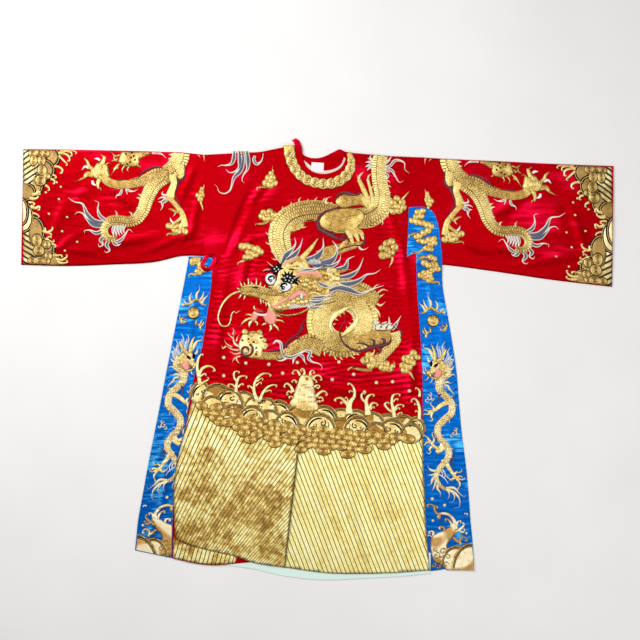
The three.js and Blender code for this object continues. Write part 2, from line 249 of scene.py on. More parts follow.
def plain_cloth(name, first, second, roughness):
    finish = Finish(name, Specular_IOR_Level=0.25, Sheen_Weight=0.1)
    fibre = finish.noise(1.0, 2.0, finish.stretched(900.0, 900.0))
    tone = finish.noise(14.0, 2.0)
    finish.colour(finish.mix(tone * 0.6 + fibre * 0.4, first, second))
    finish.rough(fibre * 0.1 + roughness)
    finish.bump(fibre, 0.0003, 0.4)
    return finish.material


MINT_LINING = plain_cloth("mint_lining", srgb(196, 222, 208), srgb(224, 242, 230), 0.6)
PALE_LINING = plain_cloth("pale_lining", srgb(214, 190, 176), srgb(236, 218, 206), 0.7)
WHITE_TAPE = plain_cloth("white_tape", srgb(222, 214, 214), srgb(245, 240, 240), 0.65)
print("plain finishes ready")

# %% [markdown]
# ## Thread
# Every stitched shape stores five numbers at each point: where it is `along` and `across` the
# rows of thread, how far it is from the `rim` (all in millimetres), which `side` of a ribbon
# it is on, from -1 to 1, and its `gleam`: 1 where the thread runs up the robe and catches the
# light from the side, -1 where it runs across. The finishes draw rows, scales and rims from
# them. Modelling every row of thread instead would take millions of faces.

# %% Thread finishes
def rows_of_thread(along, across, pitch):
    """Couched rows: round threads side by side, tied down by stitches set like bricks."""
    row = across / pitch
    crown = row.wave(1.0)
    shift = row.math("FLOOR").math("MULTIPLY", 0.5).math("FRACT")
    tie = ((along / (pitch * 2.6)) + shift).wave(1.0)
    return crown * 0.75 + tie * 0.25


def scallops(along, across, pitch):
    """Overlapping scales with pale rims, each row set half a scale to the side."""
    deep = 0.5 * pitch
    radius = 0.62 * pitch

    def distance(shift):
        row = (along / deep).math("FLOOR") - shift
        offset = (row * 0.5).math("FRACT")
        dx = ((across / pitch + offset).math("FRACT") - 0.5) * pitch
        dy = along - row * deep
        return (dx * dx + dy * dy).math("SQRT") / radius

    def tone(d):
        return 0.34 + d.between(0.25, 0.86) * 0.66 - d.between(0.88, 0.98) * 0.95

    over, under = distance(1.0), distance(0.0)
    shown = over.math("LESS_THAN", 1.0)
    return tone(over) * shown + tone(under) * (1.0 - shown)


ROW = 2.4  # mm from one couched thread to the next
SCALE = 11.0  # mm across a dragon's scale
PLATE_WIDE, PLATE_LONG = 12.0, 7.6  # mm, the plates of a banded body


def gold_thread(name, dark, middle, pale, pattern="rows", mottle=0.8, metallic=0.35, shine=0.2):
    finish = Finish(name, Metallic=metallic, Specular_IOR_Level=0.6)
    along, across = finish.stitch("along"), finish.stitch("across")
    rim, side = finish.stitch("rim"), finish.stitch("side")
    gleam = finish.stitch("gleam")
    fleck = finish.noise(260.0, 2.0)
    patch_noise = finish.noise(70.0, 2.0)
    fine = rows_of_thread(along, across, ROW)
    if pattern == "scales":
        figure = scallops(along, across, SCALE)
        belly = side.math("LESS_THAN", -0.56)
        scute = along.wave(8.0).between(0.12, 0.6)
        cord = 1.0 - (side + 0.56).math("ABSOLUTE").between(0.02, 0.07)
        figure = figure * (1.0 - belly) + (0.35 + scute * 0.55) * belly - cord * 0.5
    elif pattern == "rings":
        share = across / (across + rim + 0.1)
        groove = (share * 3.2).wave(1.0).between(0.0, 0.4)
        figure = 0.4 + share.between(0.1, 0.62) * 0.3 - (1.0 - groove) * 0.62
    elif pattern == "plain":
        figure = 0.05 + finish.noise(17.0, 0.0).between(0.5, 0.56) * 0.95
    elif pattern == "wave":
        figure = 0.1 + finish.noise(19.0, 0.0).between(0.4, 0.58) * 0.9
    elif pattern == "bands":
        column = (across / PLATE_WIDE).math("FLOOR") * 0.5
        plate = (along / PLATE_LONG + column).wave(1.0).between(0.02, 0.5)
        place = (across / PLATE_WIDE).math("FRACT") - 0.5
        seam = place.math("ABSOLUTE").between(0.40, 0.48)
        bricks = 0.12 + plate * 0.75 - seam * 0.45
        belly = side.math("LESS_THAN", -0.34)
        rib = along.wave(PLATE_LONG).between(0.08, 0.5)
        cord = 1.0 - (side + 0.34).math("ABSOLUTE").between(0.03, 0.1)
        figure = bricks * (1.0 - belly) + (rib * 1.15 - 0.1) * belly - cord * 0.8
    else:
        figure = 0.36 + across.wave(5.2).between(0.05, 0.6) * 0.28
    level = {"scales": 0.37, "bands": 0.35, "rings": 0.39}.get(pattern, 0.44)
    # pattern, rows and random flecks set the tone; gleam * shine adds a painted glint where the thread runs
    # up the robe and painted shade where it runs across
    tone_and_painted_light = (level + (figure - 0.5) * 0.56 + (fine - 0.5) * 0.12 + gleam * shine
             + (fleck - 0.5) * mottle * 1.4 + (patch_noise - 0.5) * mottle * 0.8).limited()
    stops = [
        (0.0, dark), (0.34, middle), (0.58, tuple(0.55 * m + 0.45 * p for m, p in zip(middle, pale))),
        (0.88, pale)]
    ramp = finish.node("ShaderNodeValToRGB", {"stops": stops}, {"Fac": tone_and_painted_light})
    edge = 1.0 - (rim.between(0.9, 2.4) if pattern == "rings" else rim.between(0.6, 1.6))
    finish.colour(finish.mix(edge * 0.85, ramp, tuple(c * 0.25 for c in dark)))
    finish.rough(0.5 - tone_and_painted_light * 0.14)
    finish.bump(figure * 0.5 + fine * 0.3 + fleck * 0.4, 0.0011, 0.75)
    return finish.material


def satin_stitch(name, core, edge, edge_width, roughness=0.4, shaded_share=0.62, shine=0.5):
    finish = Finish(name, Specular_IOR_Level=shine, Sheen_Weight=0.24 * shine)
    along, rim = finish.stitch("along"), finish.stitch("rim")
    strand = finish.noise(420.0, 2.0)
    stitched = (along + rim * 0.6).wave(1.9)
    # painted shade: the stitch is darker towards its rim, where the padding rounds down; strand and stitch
    # noise is the thread's own
    shade = (rim.between(0.0, 5.0) * 0.35 + strand * 0.8 + stitched * 0.14).limited()
    body = finish.mix(shade, tuple(c * shaded_share for c in core), core)
    at_edge = 1.0 - rim.between(edge_width * 0.7, edge_width * 1.2)
    finish.colour(finish.mix(at_edge, body, edge))
    finish.rough(strand * 0.15 + (roughness - 0.07))
    finish.bump(strand * 0.5 + stitched * 0.5, 0.0009, 0.8)
    return finish.material


THREADS = {
    "scales": gold_thread("gold_scales", srgb(104, 70, 14), srgb(190, 150, 62),
                          srgb(250, 232, 148), "scales", 0.8),
    "gold": gold_thread("gold_couching", srgb(112, 72, 14), srgb(196, 152, 60),
                        srgb(252, 234, 150), mottle=0.8),
    "antique": gold_thread("antique_gold", srgb(92, 60, 8), srgb(176, 132, 40),
                           srgb(244, 214, 110), mottle=1.0),
    "bright": gold_thread("bright_gold", srgb(176, 128, 52), srgb(238, 206, 118),
                          srgb(255, 250, 200), mottle=0.7),
    "foam": gold_thread("foam_gold", srgb(96, 60, 6), srgb(190, 144, 44),
                        srgb(255, 236, 150), "rings", 0.7, shine=0.26),
    "crest": gold_thread("crest_gold", srgb(128, 84, 10), srgb(186, 136, 26),
                         srgb(255, 244, 176), "plain", 0.3, shine=0.06),
    "cuff_foam": gold_thread("cuff_foam", srgb(70, 44, 8), srgb(160, 120, 44),
                             srgb(246, 222, 136), "rings", 0.7, shine=0.26),
    "shell": gold_thread("shell_gold", srgb(100, 70, 22), srgb(144, 106, 40),
                         srgb(200, 164, 86), "rows", 0.3, shine=0.12),
    "wave": gold_thread("wave_gold", srgb(150, 104, 40), srgb(206, 158, 84),
                        srgb(255, 246, 206), "wave", 0.3, 0.25, shine=0.05),
    "pale_scales": gold_thread("pale_scales", srgb(98, 66, 24), srgb(202, 162, 88),
                               srgb(255, 246, 192), "scales", 0.9),
    "bands": gold_thread("banded_gold", srgb(104, 70, 14), srgb(190, 150, 62),
                         srgb(252, 236, 156), "bands", 0.7),
    "cream": satin_stitch("cream_gold", srgb(255, 240, 186), srgb(206, 160, 84), 0.9),
    "slate": satin_stitch("slate_silk", srgb(80, 86, 106), srgb(240, 230, 214), 3.5),
    "silver": satin_stitch("silver_silk", srgb(180, 184, 196), srgb(240, 232, 220), 1.8),
    "pink": satin_stitch("pink_silk", srgb(250, 156, 138), srgb(252, 214, 166), 1.4, 0.45, 0.85),
    "maroon": satin_stitch("maroon_silk", srgb(98, 4, 36), srgb(70, 0, 24), 0.6),
    "brown": satin_stitch("brown_silk", srgb(176, 118, 50), srgb(150, 96, 40), 0.4),
    "black": satin_stitch("black_silk", srgb(12, 12, 14), srgb(10, 10, 12), 0.3, 0.6, shine=0.1),
    "white": satin_stitch("white_silk", srgb(250, 248, 242), srgb(214, 206, 194), 0.7, 0.4, 0.9),
    "flame": satin_stitch("tongue_silk", srgb(230, 44, 24), srgb(240, 120, 70), 0.8),
}
GOLDS = ("scales", "gold", "antique", "bright", "foam", "cuff_foam", "crest", "shell", "wave",
         "pale_scales", "bands", "cream")
SLOTS = {thread: "gold_couching" for thread in GOLDS}
SLOTS["white"] = "white_tape"
print("threads:", sorted(THREADS))

# %% [markdown]
# ## Outlines
# A flat cut piece is its outline. Each one is taken from the CAD piece it stands for, as the
# edge between the faces that look up and the faces of its side. The grid inside is then made
# far finer than the CAD's, so the folds of the cloth are smooth.

# %% Outline of a flat piece
def plan_outline(name, spacing):
    """The outline of a flat CAD piece in plan, in millimetres, as evenly spaced points."""
    mesh = bmesh.new()
    mesh.from_mesh(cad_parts[name].data)
    bmesh.ops.remove_doubles(mesh, verts=mesh.verts, dist=1e-6)
    mesh.normal_update()
    beside = {}
    where = {}
    for edge in mesh.edges:
        heights = [face.normal.z for face in edge.link_faces]
        if max(heights) > 0.5 and min(abs(h) for h in heights) < 0.5:
            one, two = edge.verts
            beside.setdefault(one.index, []).append(two.index)
            beside.setdefault(two.index, []).append(one.index)
            where[one.index] = (one.co.x / MM, one.co.y / MM)
            where[two.index] = (two.co.x / MM, two.co.y / MM)
    mesh.free()
    loops = []
    left = set(beside)
    while left:
        at = left.pop()
        loop = [at]
        while True:
            onward = [n for n in beside[at] if n in left]
            if not onward:
                break
            at = onward[0]
            left.discard(at)
            loop.append(at)
        loops.append(loop)
    loops.sort(key=len, reverse=True)
    points = np.array([where[i] for i in loops[0]])
    return evened(points, spacing)


def evened(points, spacing):
    """Adds points along a closed outline so that no side is longer than the spacing."""
    rows = []
    for start, end in zip(points, np.roll(points, -1, axis=0)):
        length = math.hypot(*(end - start))
        if length < 0.05:
            continue
        steps = max(1, math.ceil(length / spacing))
        for k in range(steps):
            rows.append(start + (end - start) * k / steps)
    return np.array(rows)


def area_of(points):
    x, y = points[:, 0], points[:, 1]
    return 0.5 * float(np.sum(x * np.roll(y, -1) - np.roll(x, -1) * y))


def inside(points, outline):
    """Which points lie inside a closed outline."""
    found = np.zeros(len(points), bool)
    x, y = points[:, 0], points[:, 1]
    for (ax, ay), (bx, by) in zip(outline, np.roll(outline, -1, axis=0)):
        crosses = (ay > y) != (by > y)
        if ay != by:
            found ^= crosses & (x < ax + (y - ay) * (bx - ax) / (by - ay))
    return found


def rim_distance(points, outline):
    """Distance of each point from the nearest side of a closed outline, in millimetres."""
    nearest = np.full(len(points), 1e9)
    for start, end in zip(outline, np.roll(outline, -1, axis=0)):
        side = end - start
        along = ((points - start) @ side) / max(side @ side, 1e-12)
        foot = start + np.clip(along, 0, 1)[:, None] * side
        nearest = np.minimum(nearest, np.hypot(*(points - foot).T))
    return nearest


def filled(outline, inner):
    """Points and triangles that fill an outline, and where its own points are among them."""
    count = len(outline)
    points = [Vector((float(x), float(y))) for x, y in (*outline, *inner)]
    ring = [(i, (i + 1) % count) for i in range(count)]
    flat, _, faces, origin, _, _ = delaunay_2d_cdt(points, ring, [], 1, 1e-4)
    found = {old: new for new, olds in enumerate(origin) for old in olds}
    return np.array([p[:] for p in flat]), np.array(faces), [found[i] for i in range(count)]


def lattice(outline, step_x, step_y, margin):
    """Grid points inside an outline, every second row moved by half a step."""
    low = outline.min(0)
    high = outline.max(0)
    rows = []
    for row, y in enumerate(np.arange(low[1], high[1], step_y)):
        x = np.arange(low[0] + (row % 2) * step_x / 2, high[0], step_x)
        rows.append(np.column_stack([x, np.full(len(x), y)]))
    points = np.vstack(rows)
    points = points[inside(points, outline)]
    return points[rim_distance(points, outline) > margin]


print("the back panel's outline has", len(plan_outline("back_panel", 6.0)), "points")

# %% [markdown]
# ## How the cloth lies
# A robe spread by hand keeps soft folds. The creases below are placed one by one: long ones
# that run down from the armpits, short ones across the sleeves, and soft swells between the
# layers. The heavy embroidery also gathers the red satin into fine puckers across it. A cloth
# simulation would find folds of its own; placing them keeps each where this robe has it.

# %% Folds and puckers
CREASES = np.array([
    # x, y, half length, half width, turn in degrees, rise
    (-300, 470, 120, 16, 62, 1.5), (-250, 300, 90, 12, 80, 1.2), (-205, 560, 70, 10, 48, 1.0),
    (-45, 300, 140, 26, 12, 1.0), (160, 590, 90, 18, -58, 1.3), (255, 460, 120, 16, -72, 1.6),
    (300, 250, 130, 14, -84, 1.3), (225, 160, 90, 20, -65, 1.0), (-330, 120, 150, 15, 84, 1.5),
    (-280, -40, 100, 18, 74, 1.1), (320, -30, 130, 14, 88, 1.3), (-90, -70, 110, 22, 6, 0.8),
    (130, -110, 90, 16, -8, 0.9), (-370, -300, 190, 17, 80, 1.9), (-285, -520, 150, 20, 74, 1.6),
    (-112, -520, 170, 14, 88, 2.2), (-190, -420, 120, 22, 66, 1.2), (20, -480, 190, 24, -84, 1.5),
    (150, -560, 150, 18, -80, 1.8), (255, -430, 180, 20, -86, 1.6), (330, -600, 110, 15, 84, 1.4),
    (80, -250, 90, 30, 10, 0.8), (-430, -560, 90, 14, 70, 1.4), (350, -300, 120, 12, 88, 1.2),
    (-235, 400, 60, 9, 20, 0.8), (90, 655, 30, 8, 10, 0.3), (-150, -640, 60, 14, 80, 1.2),
    (-440, 600, 70, 12, 66, 1.6), (-420, 470, 90, 14, 78, 1.9), (-520, 390, 90, 13, 24, 1.8),
    (-590, 640, 80, 16, -20, 1.0), (-650, 400, 110, 15, 10, 1.5), (-640, 540, 90, 18, -38, 1.0),
    (-770, 360, 90, 13, -8, 1.4), (-800, 560, 100, 22, 50, 1.1), (-880, 470, 80, 15, 72, 1.3),
    (-700, 670, 110, 12, -4, 1.0), (-850, 400, 60, 10, 34, 1.0), (-460, 400, 50, 9, 46, 1.3),
    (430, 620, 70, 12, -62, 1.5), (440, 440, 90, 14, -74, 1.7), (530, 380, 90, 13, -26, 1.8),
    (590, 610, 80, 16, 24, 1.0), (650, 370, 110, 15, -8, 1.6), (630, 510, 90, 18, 36, 1.0),
    (760, 330, 90, 13, 10, 1.4), (800, 520, 100, 22, -48, 1.1), (890, 430, 80, 15, -70, 1.3),
    (700, 640, 110, 12, 5, 1.0), (850, 360, 60, 10, -30, 1.0), (930, 560, 60, 14, -60, 1.0),
    (-420, 180, 90, 9, 84, 1.1), (-455, -30, 110, 12, 78, 1.4), (-500, -260, 90, 10, 62, 1.2),
    (-520, -420, 90, 13, 84, 1.3), (-560, -570, 70, 12, 70, 1.1), (-470, -560, 80, 8, 88, 0.9),
    (385, 200, 90, 9, -86, 1.0), (430, 20, 100, 12, -80, 1.3), (395, -190, 90, 10, -72, 1.2),
    (450, -330, 90, 13, -88, 1.3), (410, -520, 80, 10, -74, 1.1), (490, -600, 60, 10, -80, 1.0),
])
SWELLS = np.array([
    # x, y, half length, half width, turn in radians, rise
    (-170, 560, 150, 45, 0.9, 1.6), (60, 520, 190, 60, 0.1, 1.4), (-150, 330, 170, 70, -0.3, 2.0),
    (130, 250, 180, 80, 0.4, 1.8), (-250, 60, 190, 60, 1.3, 1.5), (40, -20, 220, 70, -0.1, 2.0),
    (270, -90, 150, 60, 1.4, 1.2), (-330, -330, 200, 60, 1.4, 1.8),
    (-130, -450, 230, 70, 1.5, 2.0), (110, -400, 240, 80, 1.5, 2.2),
    (290, -480, 200, 50, 1.6, 1.5), (-560, 560, 130, 60, 0.5, 1.2),
    (-760, 480, 160, 80, -0.2, 1.5), (-900, 600, 90, 50, 0.8, 1.0),
    (560, 560, 130, 60, -0.5, 1.2), (760, 430, 160, 80, 0.2, 1.5), (910, 540, 90, 50, -0.8, 1.0),
])


def ramp(low, high, value):
    t = np.clip((value - low) / (high - low), 0, 1)
    return t * t * (3 - 2 * t)


def mounds(rows, x, y):
    rise = np.zeros_like(x)
    for cx, cy, long, wide, turn, height in rows:
        along = ((x - cx) * math.cos(turn) + (y - cy) * math.sin(turn)) / long
        across = ((y - cy) * math.cos(turn) - (x - cx) * math.sin(turn)) / wide
        rise += height * np.exp(-along**2 - across**2)
    return rise


CREASE_RISE = 1.45  # what the rises above are multiplied by
HOLLOW_RISE, HOLLOW_AWAY = -0.45, 1.7  # a shallow hollow runs beside each crease
SOFTNESS = 0.35


def folds(x, y):
    """Height of the swells and creases, in millimetres."""
    rows = CREASES.copy()
    rows[:, 5] *= CREASE_RISE
    rows[:, 4] = np.radians(rows[:, 4])
    hollows = rows.copy()
    shift = hollows[:, 3] * HOLLOW_AWAY
    hollows[:, 0] += shift * np.sin(hollows[:, 4])
    hollows[:, 1] -= shift * np.cos(hollows[:, 4])
    hollows[:, 5] *= HOLLOW_RISE
    rise = mounds(SWELLS, x, y) + mounds(rows, x, y) + mounds(hollows, x, y)
    return SOFTNESS * np.log1p(np.exp(np.clip(rise / SOFTNESS, -30, 60)))


PUCKER_SEED, PUCKER_WAVES = 11, 26


def puckers(x, y):
    """Fine gathers that run across the body where the satin is drawn in by the stitching."""
    rng = np.random.default_rng(PUCKER_SEED)
    height = np.zeros_like(x)
    for _ in range(PUCKER_WAVES):
        wander = rng.uniform(-0.25, 0.25)
        period = rng.uniform(11, 21)
        gate_x = np.sin(x / rng.uniform(38, 90) + y / rng.uniform(60, 160) + rng.uniform(0, 6.3))
        gate_y = np.sin(y / rng.uniform(30, 80) - x / rng.uniform(90, 200) + rng.uniform(0, 6.3))
        strength = np.clip(gate_x * 1.6 - 0.5, 0, 1) * np.clip(gate_y * 1.6 - 0.3, 0, 1)
        height += strength * np.sin((y + wander * x) * 2 * math.pi / period + rng.uniform(0, 6.3))
    return height


CLOTH = 1.2
ON_BACK = 1.8  # mm, the underside of a panel that lies on the back
LAP_ADDS, HEM_ADDS = 2.7, 1.2  # mm that the under-lap or hem lining adds below the front
LAP_TOP = 4.2
LAP_EDGE_X, LAP_EDGE_Y, LAP_EDGE_LEAN = -219, -690, 157 / 1302  # the under-lap's inner edge
FOLD = 1.5  # mm, the radius of a sleeve's folded edges


def front_top(x, y):
    """Top of the front panel: high over the under-lap and neck, low over the back alone."""
    lap_edge = LAP_EDGE_X + (y - LAP_EDGE_Y) * LAP_EDGE_LEAN
    over_lap = 1 - ramp(52, 156, x - lap_edge)
    over_neck = ramp(540, 600, y) * (1 - ramp(150, 230, np.abs(x)))
    over_hem = 1 - ramp(-630, -560, y)
    under = ON_BACK + np.maximum(LAP_ADDS * np.maximum(over_lap, over_neck), HEM_ADDS * over_hem)
    beside = (x + 289) * 0.928 - (y - 445) * 0.371 - 8
    trench = np.exp(-(beside / np.where(beside < 0, 6, 20)) ** 2)
    ridge = np.exp(-((beside - 24) / 13) ** 2)
    under = under + (1.5 * ridge - 0.8 * trench) * ramp(340, 370, y) * (1 - ramp(540, 600, y))
    calm_neck = 1 - ramp(540, 600, y) * (1 - ramp(150, 230, np.abs(x)))
    calm_tongue = 1 - ramp(285, 325, x) * ramp(280, 330, y)
    gathers = 0.50 * puckers(x, y) * ramp(-215, -150, y) + 0.5
    return under + CLOTH + (folds(x, y) * 1.15 + gathers) * (0.15 + 0.85 * calm_neck) * calm_tongue


def flat_at(height):
    return lambda x, y: height + 0 * x


def sleeve_top(x, y, v):
    """Upper layer of a folded sleeve; v runs across it from fold to fold."""
    inner = ramp(0, 0.22, v) * ramp(0, 0.22, 1 - v)
    calm = 1 - ramp(300, 340, x) * (1 - ramp(440, 520, x))
    gathers = 0.16 * puckers(x * 0.5, y * 0.6)
    return 2 * FOLD + inner * (1.2 + (folds(x, y) * 1.1 + gathers + 0.3) * calm)


TONGUE_UP = 6.3  # mm that the right fin's tongue climbs over the front and the sleeve


def fin_top(x, y):
    """A side fin lies on the table and its tongue climbs over the front and the sleeve."""
    tongue = TONGUE_UP * ramp(250, 370, y) * (x > 0)
    gathers = 0.46 * puckers(x * 0.8 + y * 0.3, y * 0.9)
    return tongue + CLOTH + (folds(x, y) + gathers + 0.4) * (1 - 0.8 * ramp(250, 330, y) * (x > 0))


heights = front_top(*np.meshgrid(np.arange(-400, 350, 20.0), np.arange(-650, 500, 20.0)))
print("front panel top from", round(heights.min(), 1), "to", round(heights.max(), 1), "mm")

# %% [markdown]
# ## Cut pieces as shells
# Each cut piece is a closed shell: a fine grid on top that carries the folds, a coarse one
# below, and a wall the thickness of the cloth round the edge. A single open surface would have
# no thickness where the edge shows, so it isn't used.

# %% Making pieces
TOWARDS_LIGHT = np.array([-0.55, 0.83, 0.0])


def make_object(name, parts, material, sharp=None):
    """Joins closed meshes, each a dict of points (mm), faces and stitch numbers."""
    points = np.vstack([part["points"] for part in parts]) * MM
    starts = np.cumsum([0] + [len(part["points"]) for part in parts[:-1]])
    faces = np.vstack([part["faces"] + start for part, start in zip(parts, starts)])
    mesh = bpy.data.meshes.new(name)
    mesh.vertices.add(len(points))
    mesh.vertices.foreach_set("co", points.astype(np.float32).ravel())
    mesh.loops.add(len(faces) * 3)
    mesh.loops.foreach_set("vertex_index", faces.astype(np.int32).ravel())
    mesh.polygons.add(len(faces))
    mesh.polygons.foreach_set("loop_start", np.arange(0, len(faces) * 3, 3, dtype=np.int32))
    mesh.polygons.foreach_set("use_smooth", np.ones(len(faces), bool))
    mesh.update(calc_edges=True)
    stored = {key: np.concatenate([part[key] for part in parts])
              for key in ("along", "across", "rim", "side", "gleam") if key in parts[0]}
    if not stored:
        normals = np.zeros(len(points) * 3, np.float32)
        mesh.vertices.foreach_get("normal", normals)
        normals = normals.reshape(-1, 3)
        # painted light: each cloth point stores how far it turns towards the light, and the satin paints
        # shade and sheen from it
        facing = normals @ TOWARDS_LIGHT
        stored["gleam"] = np.tanh(facing / 0.13) * ramp(0.75, 0.93, np.abs(normals[:, 2]))
    for key, numbers in stored.items():
        layer = mesh.attributes.new(key, "FLOAT", "POINT")
        layer.data.foreach_set("value", numbers.astype(np.float32))
    if sharp:
        mesh.set_sharp_from_angle(angle=math.radians(sharp))
    mesh.materials.append(material)
    made = bpy.data.objects.new(name, mesh)
    scene.collection.objects.link(made)
    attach(made, "root")
    return made


UNDER_STEP = 24  # mm between the points of a shell's underside


def shell(outline, top, step_x, step_y, thickness):
    """A closed piece of cloth inside an outline whose upper face follows top(x, y)."""
    if area_of(outline) < 0:
        outline = outline[::-1]
    upper, faces, ring = filled(outline, lattice(outline, step_x, step_y, 0.45 * step_y))
    lower, under, under_ring = filled(
        outline, lattice(outline, UNDER_STEP, UNDER_STEP, 0.45 * UNDER_STEP))
    z = top(upper[:, 0], upper[:, 1])
    low = top(lower[:, 0], lower[:, 1])
    inner = np.ones(len(lower), bool)
    inner[under_ring] = False
    # the coarse underside keeps below every fold
    for turn in np.radians(range(0, 360, 45)):
        for reach in (0.3 * UNDER_STEP, 0.6 * UNDER_STEP):
            near = top(lower[:, 0] + reach * math.cos(turn), lower[:, 1] + reach * math.sin(turn))
            low[inner] = np.minimum(low, near)[inner]
    low -= thickness
    count = len(upper)
    walls = []
    for k in range(len(ring)):
        n = (k + 1) % len(ring)
        walls.append((ring[k], under_ring[k] + count, under_ring[n] + count))
        walls.append((ring[k], under_ring[n] + count, ring[n]))
    points = np.vstack([np.column_stack([upper, z]), np.column_stack([lower, low])])
    return {"points": points,
            "faces": np.vstack([faces, under[:, ::-1] + count, np.array(walls)])}


FOOT_EASE, EASE_FROM, EASE_OVER = 5.5, -600, 120


def eased_foot(outline):
    """The front's outline with the foot by the right fin let out until it meets the fin."""
    foot = np.clip((EASE_FROM - outline[:, 1]) / EASE_OVER, 0, 1) * (outline[:, 0] > 360)
    return outline + np.column_stack([FOOT_EASE * foot, 0 * foot])


def cut_piece(name, top, step_x, step_y, thickness, material, spacing=6.0):
    outline = plan_outline(name, spacing)
    if name == "front_panel":
        outline = eased_foot(outline)
    made = make_object(name, [shell(outline, top, step_x, step_y, thickness)], material, 50)
    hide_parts(name)
    print(name, len(made.data.polygons), "triangles")
    return made


print("the front's foot is let out by", FOOT_EASE, "mm")

# %% [markdown]
# ## The body
# A maker cuts the back, the front and the under-lap from loom-width satin, and joins them down
# the sides. The front's upper face is a fine grid, 11 by 3.6 mm, because the puckers that run
# across it are only 11 to 21 mm apart. Linings are hidden except at the neck and the hem.

# %% Body pieces
front_panel = cut_piece("front_panel", front_top, 11, 3.6, CLOTH, RED_SATIN)
back_panel = cut_piece("back_panel", flat_at(1.2), 30, 30, CLOTH, RED_SATIN, 12)
under_lap = cut_piece("under_lap", flat_at(LAP_TOP), 12, 12, CLOTH, RED_SATIN)
lap_facing = cut_piece("under_lap_facing", flat_at(LAP_TOP), 24, 24, CLOTH, RED_SATIN,
                       12)
hem_lining = cut_piece("hem_lining", flat_at(2.7), 12, 12, CLOTH, MINT_LINING)
neck_facing = cut_piece("back_neck_facing", flat_at(2.7), 8, 8, CLOTH, RED_SATIN)
neck_lining = cut_piece("neck_lining", flat_at(2.7), 8, 8, CLOTH, PALE_LINING)

# %% [markdown]
# ## The sleeves
# Each sleeve is one piece of satin folded along the shoulder and sewn below, so it is a
# flattened tube. It is lofted here from rings across the arm, each ring being the upper layer,
# a fold, the lower layer and the other fold, with the cloth's thickness inside. A thick slab
# would be simpler, but its end would look stuffed where the real cuff is open.

# %% Sleeve pieces
SLEEVE_LEFT = np.array([
    (-382, 694, -382, 350), (-460, 702, -460, 350), (-545, 705, -545, 331), (-700, 709, -700, 321),
    (-850, 712, -850, 316), (-998, 714, -1007, 320)], float)
SLEEVE_RIGHT = np.array([
    (362, 685, 362, 325), (427, 681, 427, 320), (583, 674, 583, 300), (811, 663, 811, 267),
    (920, 659, 920, 254), (1006, 656, 1001, 245)], float)


def along_rows(rows, count):
    """Rows of a table resampled smoothly by the distance between them."""
    steps = np.maximum(np.hypot(*np.diff(rows[:, :2], axis=0).T), 1e-6)
    place = np.concatenate([[0], np.cumsum(steps)])
    slopes = np.gradient(rows, place, axis=0)
    wanted = np.linspace(0, place[-1], count)
    k = np.clip(np.searchsorted(place, wanted, side="right") - 1, 0, len(place) - 2)
    gap = (place[k + 1] - place[k])[:, None]
    t = ((wanted - place[k])[:, None]) / gap
    return ((2 * t**3 - 3 * t**2 + 1) * rows[k] + (t**3 - 2 * t**2 + t) * gap * slopes[k]
            + (3 * t**2 - 2 * t**3) * rows[k + 1] + (t**3 - t**2) * gap * slopes[k + 1])


def sleeve_shell(rows, stations, across):
    sections = along_rows(rows, stations)
    v = np.linspace(0, 1, across)
    rings = []
    for inset in (0.0, CLOTH):
        for xt, yt, xb, yb in sections:
            length = math.hypot(xt - xb, yt - yb)
            f = v + (0.5 - v) * 2 * (inset + FOLD) / length
            side = np.array([0.5 - (0.5 - inset / length), 0.5 + (0.5 - inset / length)])
            x = xb + (xt - xb) * f
            y = yb + (yt - yb) * f
            upper = np.column_stack([x, y, sleeve_top(x, y, v) - inset])
            lower = np.column_stack([x, y, np.full(across, inset)])[::-1]
            ends = np.column_stack([xb + (xt - xb) * side, yb + (yt - yb) * side, [FOLD, FOLD]])
            rings.append(np.vstack([upper, ends[1:], lower, ends[:1]]))
    count = len(rings[0])
    index = np.arange(2 * stations * count).reshape(2, stations, count)
    faces = []

    def quads(a, b, c, d):
        faces.append(np.column_stack([a.ravel(), b.ravel(), c.ravel()]))
        faces.append(np.column_stack([a.ravel(), c.ravel(), d.ravel()]))

    turned = np.roll(index, -1, axis=2)
    quads(index[0, :-1], index[0, 1:], turned[0, 1:], turned[0, :-1])
    quads(index[1, :-1], turned[1, :-1], turned[1, 1:], index[1, 1:])
    quads(index[0, 0], turned[0, 0], turned[1, 0], index[1, 0])
    quads(index[0, -1], index[1, -1], turned[1, -1], turned[0, -1])
    faces = np.vstack(faces)
    points = np.vstack(rings)
    corners = points[faces]
    volume = np.einsum("ij,ij->i", corners[:, 0], np.cross(corners[:, 1], corners[:, 2])).sum()
    return {"points": points, "faces": faces if volume > 0 else faces[:, ::-1]}


def cut_sleeve(name, rows):
    made = make_object(name, [sleeve_shell(rows, 110, 56)], RED_SATIN, 60)
    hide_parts(name)
    print(name, len(made.data.polygons), "triangles, volume kept outward")
    return made


sleeve_left = cut_sleeve("sleeve_left", SLEEVE_LEFT)
sleeve_right = cut_sleeve("sleeve_right", SLEEVE_RIGHT)

# %% [markdown]
# ## The side fins
# Opera robes for generals and kings have stiff blue side pieces that swing out in a dance. The
# one on the wearer's left runs up into a tongue that lies over the front and the sleeve. They
# are flat like the body pieces, so the same function makes them.

# %% Fin pieces
fin_left = cut_piece("fin_left", fin_top, 8, 8, CLOTH, BLUE_SATIN)
fin_right = cut_piece("fin_right", fin_top, 8, 8, CLOTH, BLUE_SATIN)

# %% [markdown]
# ## An embroidery kit
# Gold thread is laid in rows that follow each shape and is stitched down over padding, so each
# motif stands about a millimetre proud and rounds off at its edge. Every point stores where it
# is along and across the rows of thread and how far it is from the rim. The materials draw the
# rows from those numbers, so the meshes themselves stay light.

